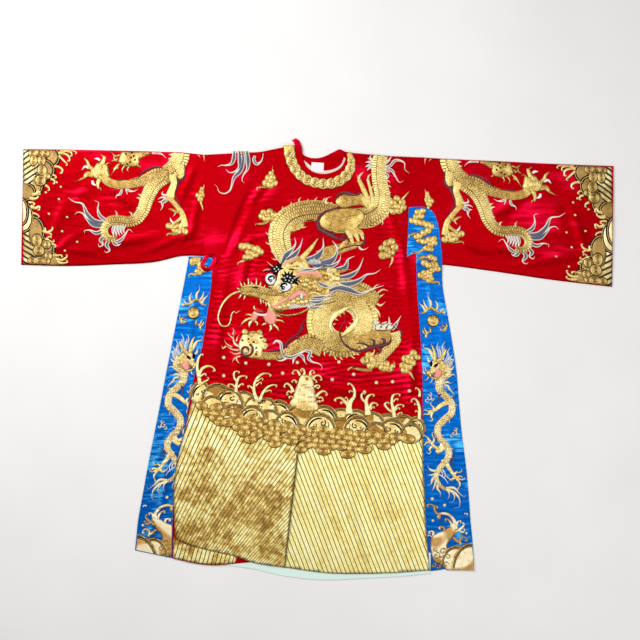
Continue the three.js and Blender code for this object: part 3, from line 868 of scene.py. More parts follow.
# %% Ribbons, patches and buttons
def ribbon(rows, lift=0.9, step=4.0, across=5):
    """A domed strip along a soft curve through rows of (x, y, width)."""
    rows = np.array(rows, float)
    length = np.hypot(*np.diff(rows[:, :2], axis=0).T).sum()
    path = along_rows(rows, max(4, int(length / step) + 1))
    width = np.maximum(path[:, 2], 0.6)
    heading = np.gradient(path[:, :2], axis=0)
    heading /= np.maximum(np.hypot(*heading.T), 1e-9)[:, None]
    u = np.sin(np.linspace(-1, 1, across) * math.pi / 2)
    offset = (width / 2)[:, None] * u
    x = path[:, :1] - heading[:, 1:] * offset
    y = path[:, 1:2] + heading[:, :1] * offset
    steps = np.hypot(*np.diff(path[:, :2], axis=0).T)
    along = np.concatenate([[0], np.cumsum(steps)])
    rise = lift * np.minimum(1, width / 7)[:, None] * np.sqrt(np.maximum(1 - u**2, 0))
    count = len(path)
    index = np.arange(count * across).reshape(count, across)
    a, b, c, d = index[:-1, :-1], index[1:, :-1], index[1:, 1:], index[:-1, 1:]
    faces = [np.stack([a, b, c], -1).reshape(-1, 3), np.stack([a, c, d], -1).reshape(-1, 3)]
    left, right = index[:, 0], index[:, -1]
    faces.append(np.column_stack([left[:-1], right[:-1], right[1:]]))
    faces.append(np.column_stack([left[:-1], right[1:], left[1:]]))
    middle = np.arange(1, across - 1)
    faces.append(np.column_stack([0 * middle, middle, middle + 1]))
    end = index[-1]
    faces.append(np.column_stack([end[0] + 0 * middle, end[middle + 1], end[middle]]))
    return {"x": x.ravel(), "y": y.ravel(), "rise": rise.ravel(),
            "along": np.repeat(along, across), "across": offset.ravel(),
            "rim": ((width / 2)[:, None] - np.abs(offset)).ravel(),
            "side": np.tile(u, count), "faces": np.vstack(faces)[:, ::-1]}


def closed_curve(points, spacing):
    """A soft closed curve through a few points, with points at an even spacing."""
    points = np.array(points, float)
    before = np.roll(points, 1, axis=0)
    after = np.roll(points, -1, axis=0)
    later = np.roll(points, -2, axis=0)
    rows = []
    for p0, p1, p2, p3 in zip(before, points, after, later):
        count = max(2, int(math.hypot(*(p2 - p1)) / spacing))
        t = (np.arange(count) / count)[:, None]
        rows.append(0.5 * (2 * p1 + (p2 - p0) * t + (2 * p0 - 5 * p1 + 4 * p2 - p3) * t**2
                           + (3 * p1 - p0 - 3 * p2 + p3) * t**3))
    return np.vstack(rows)


PATCH_UNDER_STEP, SUNK = 26, 0.7  # mm between points underneath, and below the cloth


def padded(outline, inner, lift, soft):
    """A closed padded shape: a domed top, and a coarse underside sunk into the cloth."""
    if area_of(outline) < 0:
        outline = outline[::-1]
    flat, faces, ring = filled(outline, inner)
    coarse = lattice(outline, PATCH_UNDER_STEP, PATCH_UNDER_STEP, 5.0)
    low, under, under_ring = filled(outline, coarse)
    own = np.full(len(low), -1)
    own[under_ring] = ring
    sunk = np.flatnonzero(own < 0)
    own[sunk] = len(flat) + np.arange(len(sunk))
    rim = rim_distance(flat, outline)
    rim[ring] = 0
    rise = np.concatenate([lift * (1 - np.exp(-rim / soft)), np.full(len(sunk), -SUNK)])
    flat = np.vstack([flat, low[sunk]])
    rim = np.concatenate([rim, np.zeros(len(sunk))])
    return flat, np.vstack([faces, own[under][:, ::-1]]), rim, rise


def patch(points, lift=0.9, spacing=4.0, step=6.0, soft=2.2, sharp=False):
    """A padded shape inside an outline; its rows of thread follow the rim."""
    if sharp:
        outline = evened(np.array(points, float), spacing)
    else:
        outline = closed_curve(points, spacing)
    if area_of(outline) < 0:
        outline = outline[::-1]
    flat, faces, rim, rise = padded(outline, lattice(outline, step, step, 0.42 * step), lift, soft)
    return {"x": flat[:, 0], "y": flat[:, 1], "rise": rise,
            "along": flat[:, 0] + flat[:, 1] * 0.3, "across": rim, "rim": rim,
            "side": 0 * rim, "faces": faces}


def button(x, y, radius, lift=1.0, rings=2, corners=10, squash=1.0, turn=0.0):
    """A round or oval boss; its rows of thread are rings."""
    angle = np.arange(corners) * 2 * math.pi / corners
    px, py, rise, across, faces = [0.0], [0.0], [lift], [0.0], []
    for ring in range(1, rings + 1):
        share = ring / rings
        px.extend(radius * share * np.cos(angle))
        py.extend(radius * share * squash * np.sin(angle))
        rise.extend([lift * math.sqrt(max(0.0, 1 - share**2))] * corners)
        across.extend([radius * share] * corners)
    for k in range(corners):
        n = (k + 1) % corners
        faces.append((0, 1 + k, 1 + n))
        for ring in range(rings - 1):
            a, b = 1 + ring * corners, 1 + (ring + 1) * corners
            faces.append((a + k, b + k, b + n))
            faces.append((a + k, b + n, a + n))
    last = 1 + (rings - 1) * corners
    base = len(px)
    px, py, across = np.append(px, 0.0), np.append(py, 0.0), np.append(across, 0.0)
    rise.append(-0.3)
    for k in range(corners):
        faces.append((base, last + (k + 1) % corners, last + k))
    c, s = math.cos(turn), math.sin(turn)
    return {"x": x + px * c - py * s, "y": y + px * s + py * c, "rise": np.array(rise),
            "along": np.concatenate([[0], np.tile(angle * radius * 0.6, rings), [0]]),
            "across": across, "rim": radius - across, "side": 0 * across,
            "faces": np.array(faces)}


def gleam_of(x, y, across, faces):
    """1 where the rows of thread run up the robe, -1 where they run across it."""
    a, b, c = faces.T
    x1, y1, t1 = x[b] - x[a], y[b] - y[a], across[b] - across[a]
    x2, y2, t2 = x[c] - x[a], y[c] - y[a], across[c] - across[a]
    slope_x = t1 * y2 - t2 * y1
    slope_y = t2 * x1 - t1 * x2
    corners = faces.ravel()
    upright = np.bincount(corners, np.repeat(slope_x**2 - slope_y**2, 3), len(x))
    whole = np.bincount(corners, np.repeat(slope_x**2 + slope_y**2, 3), len(x))
    return upright / np.maximum(whole, 1e-9)


PADDING = 0.28  # mm that each level of padding lifts a shape


class Needlework:
    """The embroidery on one piece of cloth, gathered by thread."""

    def __init__(self, name, surface, place=None, mirrored=False):
        self.name = name
        self.surface = surface
        self.place = place or (lambda x, y: (x, y))
        self.mirrored = mirrored
        self.threads = {}
        self.made = []

    def sew(self, thread, part, level=0.0):
        """Lays a part on the cloth, a layer of padding higher for each level."""
        x, y = self.place(part["x"], part["y"])
        z = self.surface(x, y) + part["rise"] + PADDING * level
        faces = part["faces"][:, ::-1] if self.mirrored else part["faces"]
        self.threads.setdefault(thread, []).append({
            "points": np.column_stack([x, y, z]), "faces": faces, "along": part["along"],
            "across": part["across"], "rim": part["rim"], "side": part["side"],
            "gleam": gleam_of(x, y, part["across"], part["faces"])})

    def flame(self, thread, points, width, level=1.0, lift=0.9):
        """A tapering tongue of satin stitch from its root to its tip."""
        points = np.array(points, float)
        steps = np.hypot(*np.diff(points, axis=0).T)
        t = np.concatenate([[0], np.cumsum(steps)]) / steps.sum()
        swell = (0.72 + 0.5 * np.sin(math.pi * np.minimum(t * 1.5, 1)) ** 2) * (1 - t**1.6)
        rows = np.column_stack([points, np.maximum(width * swell, 0.8)])
        self.sew(thread, ribbon(rows, lift, min(4.0, 0.5 * width + 1.5), 5), level)

    def flames(self, thread, width, level, lines):
        """Several tongues of one width at one level."""
        for line in lines:
            self.flame(thread, line, width, level)

    def curl(self, thread, x, y, radius, start, turns, width, level):
        """A spiral hook from its centre outward."""
        count = int(9 * abs(turns)) + 2
        angle = np.linspace(0, 2 * math.pi * turns, count)
        r = radius * (0.16 + 0.84 * np.linspace(0, 1, count))
        angle = math.radians(start) - angle[-1] + angle
        rows = [(x + q * math.cos(a), y + q * math.sin(a), width) for q, a in zip(r, angle)]
        self.sew(thread, ribbon(rows, 0.8, 2.6, 4), level)

    def count(self):
        return sum(len(parts) for parts in self.threads.values())

    def piece(self, name, thread):
        """One object of everything sewn so far in a thread."""
        parts = self.threads.pop(thread)
        made = make_object(name, parts, THREADS[thread])
        self.made.append(made)
        print(f"  {name}: {len(parts)} shapes, {len(made.data.polygons)} triangles")
        return made

    def finish(self):
        """One object for each thread."""
        for thread in list(self.threads):
            self.piece(f"{self.name}_{thread}", thread)
        print(self.name, sum(len(o.data.polygons) for o in self.made), "triangles")


def tally(title, *works):
    """Prints how many shapes the embroidery holds so far."""
    print(title, "-", sum(work.count() for work in works), "shapes so far")


sample = ribbon([(0, 0, 8), (40, 10, 8), (80, 0, 2)])
print("a ribbon 80 mm long has", len(sample["faces"]), "triangles")

# %% [markdown]
# ## Clouds
# The clouds are the auspicious kind: a heap of round curls with a thin tail. Each curl is a
# boss of couched rings, and the curls overlap, so each is sewn a little above the last. A
# spiral ribbon would follow the thread more closely, but from above a domed button whose
# finish draws the rings looks the same with far fewer faces.

# %% Clouds
def cloud(work, curls, tail=(), level=1.0):
    """A heap of curls (x, y, radius) with a tail of rows (x, y, width)."""
    if tail:
        work.sew("gold", ribbon(tail, 0.9, 3.0, 5), level)
    for x, y, radius in curls:
        near = min(curls, key=lambda c: abs(math.hypot(c[0] - x, c[1] - y) - 1.2 * radius))
        work.sew("gold", ribbon([
            (x, y, 0.9 * radius), (near[0], near[1], 0.9 * near[2])], 0.4, 5.0, 5), level - 0.8)
    for k, (x, y, radius) in enumerate(curls):
        corners = 14 if radius > 9 else 10
        work.sew("gold", button(x, y, radius * 1.18, 1.1, 3, corners, 0.92, 0.5 * k),
                 level + 0.5 * k)


front = Needlework("front", front_top)

cloud(front, [
    (-174, 597, 13), (-147, 598, 12), (-160, 590, 11), (-166, 614, 12), (-152, 617, 11), (-157, 630, 9),
    (-158, 605, 9)], [(-150, 590, 10), (-178, 584, 8), (-196, 583, 7), (-205, 580, 5), (-206, 572, 2)])
front.flame("gold", [(-157, 628), (-150, 638), (-154, 646), (-150, 657)], 6)
cloud(front, [
    (-188, 484, 12), (-183, 498, 10), (-162, 500, 11), (-148, 489, 12), (-160, 478, 11),
    (-176, 476, 11), (-170, 488, 9)], [(-165, 470, 10), (-180, 461, 9), (-200, 459, 7), (-210, 458, 4),
    (-211, 453, 2)])
cloud(front, [
    (-255, 382, 13), (-240, 384, 12), (-225, 376, 13), (-205, 372, 13), (-193, 364, 11),
    (-212, 355, 12), (-232, 362, 13), (-243, 346, 11), (-226, 345, 9)],
    [(-230, 345, 14), (-248, 336, 10), (-262, 330, 7), (-270, 326, 5), (-270, 317, 2)])
cloud(front, [
    (222, 352, 14), (220, 376, 12), (235, 392, 13), (252, 398, 12), (262, 380, 13), (250, 362, 13),
    (238, 372, 11), (240, 352, 10)], [(245, 355, 12), (255, 340, 9), (252, 328, 7), (246, 318, 4),
    (243, 311, 2)])
cloud(front, [
    (258, 502, 12), (278, 504, 12), (292, 515, 11), (288, 532, 12), (270, 545, 11), (258, 530, 12),
    (270, 519, 11), (251, 518, 9)], [(285, 540, 9), (296, 552, 7), (304, 561, 5), (312, 570, 2)])
cloud(front, [
    (296, -38, 13), (290, -22, 12), (310, -26, 13), (322, -12, 13), (298, 0, 13), (315, 5, 12),
    (326, 20, 12), (340, 6, 10), (310, -8, 11)],
    [(302, -40, 12), (315, -48, 9), (322, -60, 7), (326, -66, 4), (330, -72, 2)])

tally("clouds", front)

# %% [markdown]
# ## The great dragon
# The front carries one dragon that turns back on itself: its tail comes over the shoulder, it
# rolls once at the chest, and its head faces the wearer's right. This is a traditional figure,
# and its curves are listed tables of points. Its body is gold couched in scales, padded
# higher than the rest, with a ridge of cream spikes along the back and bands along the belly.
# It could be sculpted as one relief, but ribbons and patches follow the way the thread is laid.

# %% Dragon body
arch = [
    (-100, 335, 56), (-122, 380, 70), (-128, 428, 74), (-112, 465, 74), (-75, 492, 72), (-25, 503, 70),
    (20, 502, 66), (62, 492, 60)]
tail = [
    (214, 692, 48), (208, 655, 50), (210, 604, 50), (219, 556, 54), (212, 512, 68), (180, 485, 72),
    (130, 479, 68), (80, 478, 64), (38, 466, 56)]
front.sew("bands", ribbon(arch, 2.2, 5.0, 13), 0)
front.sew("bands", ribbon(tail, 2.4, 5.0, 13), 1)

angles = np.radians(np.arange(70, 441, 18.0))
coil = [(85 + 80 * math.cos(a), 128 + 80 * math.sin(a), 86) for a in angles]
front.sew("scales", ribbon(coil, 2.6, 5.5, 15), 0)
front.sew("scales", ribbon([
    (205, 195, 40), (170, 215, 66), (120, 232, 76), (60, 240, 76)], 2.2, 6.0, 11), 1)


def spikes(work, path, side, count, length, thread="cream", level=1.0, lean=0.6, base=7.0):
    """Short spikes along one edge of a body path."""
    rows = along_rows(np.array(path, float), count + 2)
    heading = np.gradient(rows[:, :2], axis=0)
    heading /= np.hypot(*heading.T)[:, None]
    for k in range(1, count + 1):
        hx, hy = heading[k]
        nx, ny = -hy * side, hx * side
        x = rows[k, 0] + nx * rows[k, 2] * 0.47
        y = rows[k, 1] + ny * rows[k, 2] * 0.47
        reach = length * (0.8 + 0.35 * math.sin(k * 2.3))
        work.flame(thread, [
            (x - hx * 3, y - hy * 3), (x + nx * reach * 0.6, y + ny * reach * 0.6),
            (x + nx * reach + hx * lean * reach, y + ny * reach + hy * lean * reach)], base, level)


def edging(work, path, side, width=4.0, thread="cream", level=1.2, inset=1.0):
    """A cord laid along one edge of a body path."""
    rows = along_rows(np.array(path, float), 40)
    heading = np.gradient(rows[:, :2], axis=0)
    heading /= np.hypot(*heading.T)[:, None]
    shift = (rows[:, 2] / 2 - inset) * side
    line = np.column_stack([rows[:, 0] - heading[:, 1] * shift,
                            rows[:, 1] + heading[:, 0] * shift, np.full(len(rows), width)])
    work.sew(thread, ribbon(line, 1.0, 5.0, 4), level)


spikes(front, arch, 1, 13, 15, lean=0.5)
edging(front, arch, 1, 5.0, "bright")
edging(front, arch, 1, 1.8, "antique", 5.0, 12.0)
spikes(front, tail[1:6], 1, 9, 13, lean=0.5)
edging(front, tail, 1, 5.0, "bright", 2.0)
spikes(front, coil[9:14], -1, 7, 12, level=0.5)
edging(front, coil, 1, 7.0, "bright", 1.5, 3.0)
front.flame("cream", [(35, 520), (28, 536), (36, 548), (50, 552)], 9, 2)
front.sew("gold", patch([(-98, 448), (-72, 462), (-46, 463), (-46, 450), (-62, 438), (-90, 428)]), 3)
for x, y in ((-62, 461), (-70, 440), (-52, 446)):
    front.flame("cream", [(x, y), (x + 8, y + 1), (x + 15, y + 4)], 6, 4)
tally("dragon body", front)

# %% Dragon hind legs
front.sew("gold", patch([
    (6, 470), (22, 492), (58, 507), (108, 514), (150, 505), (160, 480), (140, 452), (112, 430),
    (78, 424), (40, 432), (14, 446)], 2.2), 6)
front.sew("gold", patch([
    (62, 528), (68, 548), (92, 560), (125, 556), (155, 562), (172, 530), (178, 505), (150, 520),
    (120, 518), (85, 512)], 2.0), 7)
front.sew("maroon", ribbon([
    (140, 545, 4), (118, 530, 5), (85, 518, 5), (50, 508, 6), (20, 496, 9), (3, 472, 13), (4, 448, 13),
    (30, 428, 14), (58, 414, 12), (80, 404, 3)], 1.6, 4, 6), 8)
front.sew("maroon", ribbon([
    (60, 540, 3), (68, 556, 6), (92, 565, 8), (112, 560, 14), (130, 556, 10), (150, 568, 3)], 1.4, 4, 6), 8)
for root, bend, tip in (
        ((44, 430), (48, 448), (40, 468)), ((62, 424), (52, 436), (60, 448)),
        ((84, 410), (92, 428), (78, 450)), ((100, 414), (96, 430), (90, 438)),
        ((78, 408), (100, 402), (116, 424)), ((112, 552), (104, 548), (94, 540)),
        ((122, 556), (136, 552), (128, 544))):
    front.flame("maroon", [root, bend, tip], 12, 9)
front.sew("gold", ribbon([
    (160, 395, 12), (128, 388, 24), (86, 378, 34), (34, 362, 40), (0, 350, 36)], 1.9, 5, 9), 3)
for toe in (
        [(112, 442, 22), (132, 420, 18), (140, 398, 9)],
        [(100, 440, 22), (112, 415, 18), (122, 392, 9)],
        [(126, 444, 18), (150, 425, 16), (156, 405, 9)], [(104, 400, 20), (90, 392, 16), (74, 374, 8)]):
    front.sew("gold", ribbon(toe, 1.7, 4, 7), 8)
front.sew("maroon", ribbon([
    (118, 452, 3), (136, 436, 6), (154, 420, 10), (160, 402, 9), (152, 388, 7), (120, 386, 5),
    (88, 376, 5), (62, 364, 3)], 1.3, 4, 5), 9)
front.flame("slate", [(140, 388), (146, 374), (160, 372), (172, 380)], 7, 8)
for toe in (
        [(178, 508, 24), (168, 545, 20), (152, 585, 17), (140, 610, 14)],
        [(190, 515, 18), (186, 550, 14), (176, 590, 12), (170, 612, 10)],
        [(160, 520, 20), (175, 545, 16), (192, 560, 12)]):
    front.sew("gold", ribbon(toe, 1.8, 4, 7), 4)
for claw in (
        [(141, 606), (143, 622), (158, 636)], [(171, 610), (174, 622), (184, 628)],
        [(178, 575), (190, 590), (188, 600)], [(150, 596), (138, 612), (134, 626)]):
    front.flame("cream", claw, 9, 6)
tally("hind legs", front)

# %% Dragon shoulder fringe and tendrils
for k, (x, y) in enumerate(((168, 640), (162, 652), (163, 668), (170, 682), (184, 692))):
    front.flame("slate", [(190, 655 + 5 * k), (178, (y + 655 + 5 * k) / 2 + 3), (x, y)], 11, 2 - 0.2 * k)
front.flames("slate", 11, 2, (
    [(226, 650), (245, 655), (265, 675), (295, 666), (298, 642), (312, 632)],
    [(225, 638), (250, 642), (266, 618), (280, 600), (292, 606)],
    [(222, 630), (238, 624), (232, 606), (226, 596)], [(224, 660), (240, 672), (252, 690)]))
tally("fringe", front)

# %% The foreleg below the coil, and the coil's opening
front.sew("gold", ribbon([(120, 62, 46), (165, 72, 56), (210, 76, 52), (250, 80, 44)], 2.2, 5, 9), 3)
front.sew("scales", ribbon([
    (262, 92, 40), (268, 68, 34), (248, 40, 34), (222, 14, 36), (202, -8, 40)], 2.2, 4.5, 9), 4)
front.sew("maroon", ribbon([
    (96, 160, 2), (92, 128, 3), (80, 108, 3), (76, 84, 5), (86, 58, 7), (108, 38, 8), (138, 27, 9),
    (170, 34, 10), (205, 44, 12), (235, 50, 10), (254, 64, 3)], 1.4, 4, 5), 9)
front.sew("maroon", ribbon([
    (244, 104, 2), (268, 104, 4), (284, 94, 7), (284, 78, 6), (278, 62, 2)], 1.2, 4, 5), 6)
front.flames("maroon", 11, 10, (
    [(180, 40), (150, 54), (122, 50)], [(190, 46), (192, 62), (172, 70)],
    [(222, 46), (228, 62), (200, 74)], [(235, 46), (246, 58), (250, 74)],
    [(205, 42), (214, 30), (200, 12)]))
cloud(front, [
    (160, -5, 14), (175, 12, 13), (190, 0, 14), (180, -22, 13), (198, -16, 13), (222, -28, 15),
    (243, -32, 13), (212, -14, 11), (234, -16, 11), (256, -24, 9)],
    [(185, -36, 14), (160, -38, 12), (135, -33, 10), (116, -28, 7), (105, -34, 5), (104, -42, 2)], level=5)
front.flame("gold", [(252, -32), (262, -18), (256, -4)], 10, 6)
front.flame("gold", [(182, 10), (192, 24), (194, 38)], 12, 6)
front.sew("cream", patch([
    (190, 98), (198, 112), (212, 120), (232, 122), (252, 114), (262, 104), (245, 98), (215, 95)], 1.2), 5)
for line, width in (
        ([(196, 100), (198, 116), (212, 126)], 14), ([(196, 104), (194, 120), (200, 140)], 10),
        ([(212, 99), (218, 114), (236, 128)], 15), ([(232, 99), (236, 112), (254, 122)], 15),
        ([(238, 110), (244, 126), (242, 144)], 10), ([(252, 100), (262, 112), (272, 128), (284, 148)], 15)):
    front.flame("slate", line, width, 7)
front.sew("maroon", ribbon([(196, 99, 3), (220, 95, 4), (245, 99, 3)], 1.0, 4, 4), 8)
front.flames("cream", 9, 2, (
    [(200, 208), (215, 214), (228, 222)], [(198, 190), (214, 182), (224, 188), (232, 196)],
    [(205, 225), (222, 236), (240, 232)], [(196, 172), (206, 160), (214, 140)],
    [(190, 240), (204, 252), (212, 250)]))

# the opening of the coil is a leaf between two bright cords
front.sew("bright", ribbon([
    (118, 179, 5), (100, 173, 10), (80, 162, 15), (60, 148, 17), (46, 128, 12), (44, 106, 10),
    (54, 88, 5)], 2.2, 4, 7), 6)
front.sew("bright", ribbon([
    (112, 173, 5), (128, 158, 8), (135, 140, 10), (126, 118, 16), (110, 101, 18), (92, 86, 12),
    (80, 78, 3)], 2.0, 4, 6), 6)
for x, y, dx, dy in (
        (88, 162, 4, -12), (74, 152, 6, -9), (60, 136, 11, -5), (52, 118, 11, 2), (122, 154, -5, -12),
        (128, 136, -12, -2), (116, 118, -10, 6), (102, 102, -5, 10)):
    front.flame("cream", [(x, y), (x + dx * 0.5, y + dy * 0.5), (x + dx, y + dy)], 7, 5)
tally("coil", front)

# %% The foreleg with the pearl
front.sew("scales", ribbon([(20, 40, 70), (-25, 55, 66), (-62, 46, 48), (-95, 30, 34)], 2.2, 5, 9), 3)
front.sew("scales", ribbon([
    (-80, 40, 36), (-110, 18, 30), (-150, 11, 28), (-205, 12, 26)], 1.9, 5, 7), 4)
front.sew("maroon", ribbon([
    (-44, 134, 2), (-52, 118, 6), (-58, 96, 8), (-78, 76, 7), (-100, 60, 9), (-116, 40, 9),
    (-135, 30, 6), (-168, 26, 4)], 1.3, 4, 5), 5)
front.flames("maroon", 11, 6, (
    [(-58, 90), (-52, 104), (-40, 100)], [(-74, 74), (-52, 66), (-34, 80)],
    [(-112, 46), (-100, 38), (-84, 46)], [(-124, 30), (-140, 22), (-146, 30)]))
front.sew("slate", ribbon([
    (-150, 52, 5), (-140, 62, 7), (-126, 56, 10), (-122, 34, 11), (-112, 12, 12), (-92, 6, 12),
    (-66, 16, 10), (-40, 30, 5)], 1.3, 4, 6), 7)
front.flames("slate", 12, 7, (
    [(-70, 14), (-80, 0), (-84, -18)], [(-66, 18), (-50, 8), (-42, -12), (-36, -18)],
    [(-44, 30), (-24, 22), (-30, 2), (-16, -10), (6, -16), (16, -28), (12, -36)],
    [(-20, 32), (-26, 16), (-14, 6)], [(-100, 6), (-128, -6), (-140, -2)]))
front.sew("bright", patch([
    (-262, 22), (-268, 50), (-256, 80), (-246, 100), (-236, 86), (-214, 90), (-194, 100), (-186, 84),
    (-178, 62), (-164, 44), (-184, 34), (-186, 8), (-208, 2), (-232, 4)], 2.0, 3.5, 7), 5)
for x, y, w in (
        (-246, 92, 16), (-224, 84, 14), (-196, 90, 15), (-182, 64, 14), (-180, 40, 14), (-206, 20, 14),
        (-232, 62, 13), (-206, 58, 13), (-222, 36, 12)):
    front.sew("gold", button(x, y, w * 0.72, 1.2, 3, 12), 10.5)
front.sew("antique", ribbon([(-240, 88, 6), (-218, 92, 8), (-196, 88, 6)], 1, 4, 5), 12)
for x, y in ((-255, 64), (-234, 68), (-216, 58), (-208, 38), (-208, 18), (-250, 40), (-192, 72)):
    front.sew("black", button(x, y, 3.8, 0.9, 2, 8), 15)
front.curl("maroon", -242, 30, 25, 60, 1.35, 7.5, 15)
front.sew("bright", button(-242, 27, 9, 1.4, 2, 9), 15)
front.flames("cream", 8, 4, (
    [(-262, 40), (-280, 52), (-286, 74), (-276, 96)], [(-268, 30), (-292, 34), (-310, 44)],
    [(-285, 70), (-300, 82), (-304, 92)], [(-275, 60), (-270, 78), (-266, 82)],
    [(-290, 40), (-312, 56), (-316, 66)], [(-262, 10), (-282, 2), (-290, -12)],
    [(-258, 22), (-282, 18), (-298, 26)], [(-276, 4), (-268, -12), (-262, -16)],
    [(-288, 84), (-284, 98), (-288, 106)], [(-310, 44), (-322, 36), (-324, 46)]))
tally("forelegs", front)

# %% [markdown]
# ## The dragon's head
# The head is built up in layers, as an embroiderer pads it: a broad gold patch first, then
# the muzzle, brow and cheek above it, and the eyes last, white with black comma pupils.
# Slate mane locks with pale rims stream back from the cheek and crown.

# %% Dragon head
front.sew("gold", patch([
    (-268, 232), (-256, 246), (-236, 254), (-206, 252), (-176, 240), (-156, 244), (-142, 262),
    (-132, 298), (-120, 328), (-96, 346), (-60, 352), (-38, 340), (-22, 312), (14, 306), (52, 308),
    (74, 290), (76, 262), (60, 240), (36, 214), (0, 196), (-40, 186), (-98, 170), (-128, 158),
    (-148, 168), (-168, 190), (-204, 206), (-244, 214), (-262, 222)], 1.5, 4.0, 7.0, 3.0), 6)
front.sew("scales", ribbon([
    (-262, 232, 14), (-236, 236, 26), (-200, 234, 30), (-165, 226, 28), (-130, 222, 20),
    (-108, 216, 8)], 1.6, 4, 9), 9)
front.sew("bright", ribbon([
    (-258, 244, 5), (-226, 250, 8), (-196, 246, 7), (-172, 238, 5)], 1.2, 4, 5), 12)
front.sew("bright", ribbon([
    (-166, 246, 4), (-146, 246, 12), (-134, 262, 14), (-130, 286, 10), (-128, 300, 4)], 1.4, 4, 6), 10)
for points in (
        [(-114, 312), (-92, 326), (-62, 334), (-46, 322), (-48, 306), (-72, 300), (-96, 302)],
        [(-80, 300), (-52, 304), (-24, 300), (6, 300), (14, 292), (-18, 294), (-56, 292)]):
    front.sew("bright", patch(points, 1.4, 4, 6), 10)
front.sew("antique", patch([(-92, 318), (-70, 322), (-52, 314), (-66, 308), (-84, 308)], 1.0), 13)
front.sew("antique", patch([
    (-60, 272), (-30, 280), (0, 274), (24, 256), (36, 240), (18, 228), (-8, 224), (-30, 236),
    (-56, 248)], 1.2), 10)
for x, y, r in (
        (-52, 264, 9), (-36, 268, 10), (-20, 258, 10), (-40, 252, 9), (-24, 244, 9), (-6, 246, 10),
        (-8, 262, 9), (8, 256, 8), (6, 236, 9), (20, 244, 7), (-70, 262, 8)):
    front.sew("gold", button(x, y, r, 1.2, 3, 10, 0.85, 0.4), 13)
front.sew("bright", ribbon([(-34, 218, 4), (-14, 226, 9), (6, 220, 9), (22, 216, 4)], 1.2, 4, 6), 13)
tally("face", front)

# %% Ear, jaw and lips
# the ear is a knot of small curls
for k, (x, y, r) in enumerate((
        (26, 292, 13), (40, 302, 11), (56, 300, 12), (68, 288, 12), (44, 286, 12), (58, 274, 12),
        (32, 276, 11), (70, 272, 9), (46, 268, 9))):
    front.sew("bright" if k % 3 else "antique", button(x, y, r, 1.6, 3, 12, 0.88, 0.6 * k), 11 + 0.4 * k)
front.flame("gold", [(66, 296), (86, 300), (104, 304), (122, 302)], 13, 12)
front.flame("bright", [(68, 262), (80, 252), (98, 250)], 12, 12)
# the jaw
for points, thread, height in (
        ([(-150, 178), (-128, 186), (-104, 190), (-84, 186), (-92, 172), (-118, 164), (-140, 164)],
        "gold", 9), ([(-84, 208), (-66, 212), (-50, 202), (-36, 204), (-30, 188), (-48, 178),
        (-70, 184), (-84, 194)], "antique", 9)):
    front.sew(thread, patch(points, 1.4, 4, 6), height)
for x, y, r in (
        (-80, 196, 8), (-66, 204, 8), (-52, 194, 9), (-38, 196, 8), (-66, 190, 7), (-112, 180, 8),
        (-128, 176, 8), (-98, 184, 8), (-22, 198, 8)):
    front.sew("bright", button(x, y, r, 1.4, 3, 10, 0.85), 12)
front.sew("bright", ribbon([
    (-168, 192, 8), (-160, 176, 10), (-148, 160, 8), (-138, 154, 4)], 1.4, 4, 6), 9)
# pink brow, ear lining and lips
front.sew("pink", ribbon([(-119, 315, 4), (-108, 326, 9), (-92, 336, 9), (-64, 347, 5)], 1.3, 4, 6), 11)
front.sew("pink", ribbon([
    (-80, 276, 4), (-68, 286, 11), (-44, 291, 11), (-18, 291, 11), (4, 285, 14), (14, 276, 6)], 1.5, 4,
    7), 14)
front.sew("pink", patch([
    (-100, 202), (-88, 220), (-66, 232), (-44, 230), (-34, 216), (-46, 208), (-58, 214), (-76, 206),
    (-90, 198)], 1.5, 3.5), 13)
front.sew("white", patch([(-62, 222), (-56, 226), (-48, 216), (-52, 200), (-58, 210)], 1.2, 3), 17)
front.sew("pink", ribbon([
    (-150, 176, 6), (-138, 184, 11), (-122, 194, 11), (-102, 206, 6)], 1.4, 4, 6), 13)
front.sew("maroon", ribbon([
    (-136, 220, 2), (-116, 226, 3.6), (-98, 233, 3.6), (-84, 244, 2)], 1.0, 4, 4), 14)
tally("ear and jaw", front)

# %% Mane, beard and spines
# locks from root to tip; the upper ones lie under the ear and the cheek
for line, width, height in (
        ([(-119, 328), (-106, 352), (-84, 374), (-74, 394), (-78, 412)], 21, 8),
        ([(-104, 338), (-76, 356), (-59, 382), (-50, 410)], 19, 9),
        ([(-36, 336), (2, 350), (19, 378), (19, 412)], 24, 8),
        ([(-16, 320), (28, 324), (60, 348), (66, 378), (50, 402)], 30, 10),
        ([(20, 314), (58, 320), (76, 338), (79, 356)], 17, 9),
        ([(66, 304), (96, 314), (104, 338), (126, 350)], 19, 9),
        ([(74, 276), (116, 286), (138, 304), (150, 328), (156, 345)], 19, 9),
        ([(76, 256), (114, 256), (144, 268), (166, 286), (196, 292), (214, 304)], 20, 10),
        ([(40, 232), (72, 242), (104, 236), (146, 222), (188, 238), (226, 250)], 21, 12),
        ([(-60, 302), (-30, 303), (2, 308), (28, 322)], 12, 14),
        ([(2, 260), (24, 249), (46, 248), (66, 256)], 15, 15),
        ([(-20, 210), (10, 210), (38, 218), (60, 232)], 14, 14),
        ([(-26, 195), (0, 193), (30, 203), (62, 212)], 14, 13),
        ([(-34, 174), (-6, 174), (22, 184), (44, 196)], 12, 12)):
    front.flame("slate", line, width, height, 1.4)
front.sew("silver", patch([
    (-34, 326), (-24, 340), (-6, 344), (14, 336), (20, 324), (0, 318), (-20, 318)], 1.2, 4, 6), 11)
for x, y in ((-18, 330), (-4, 334), (8, 328)):
    front.sew("bright", button(x, y, 5, 0.9, 2, 8), 15)
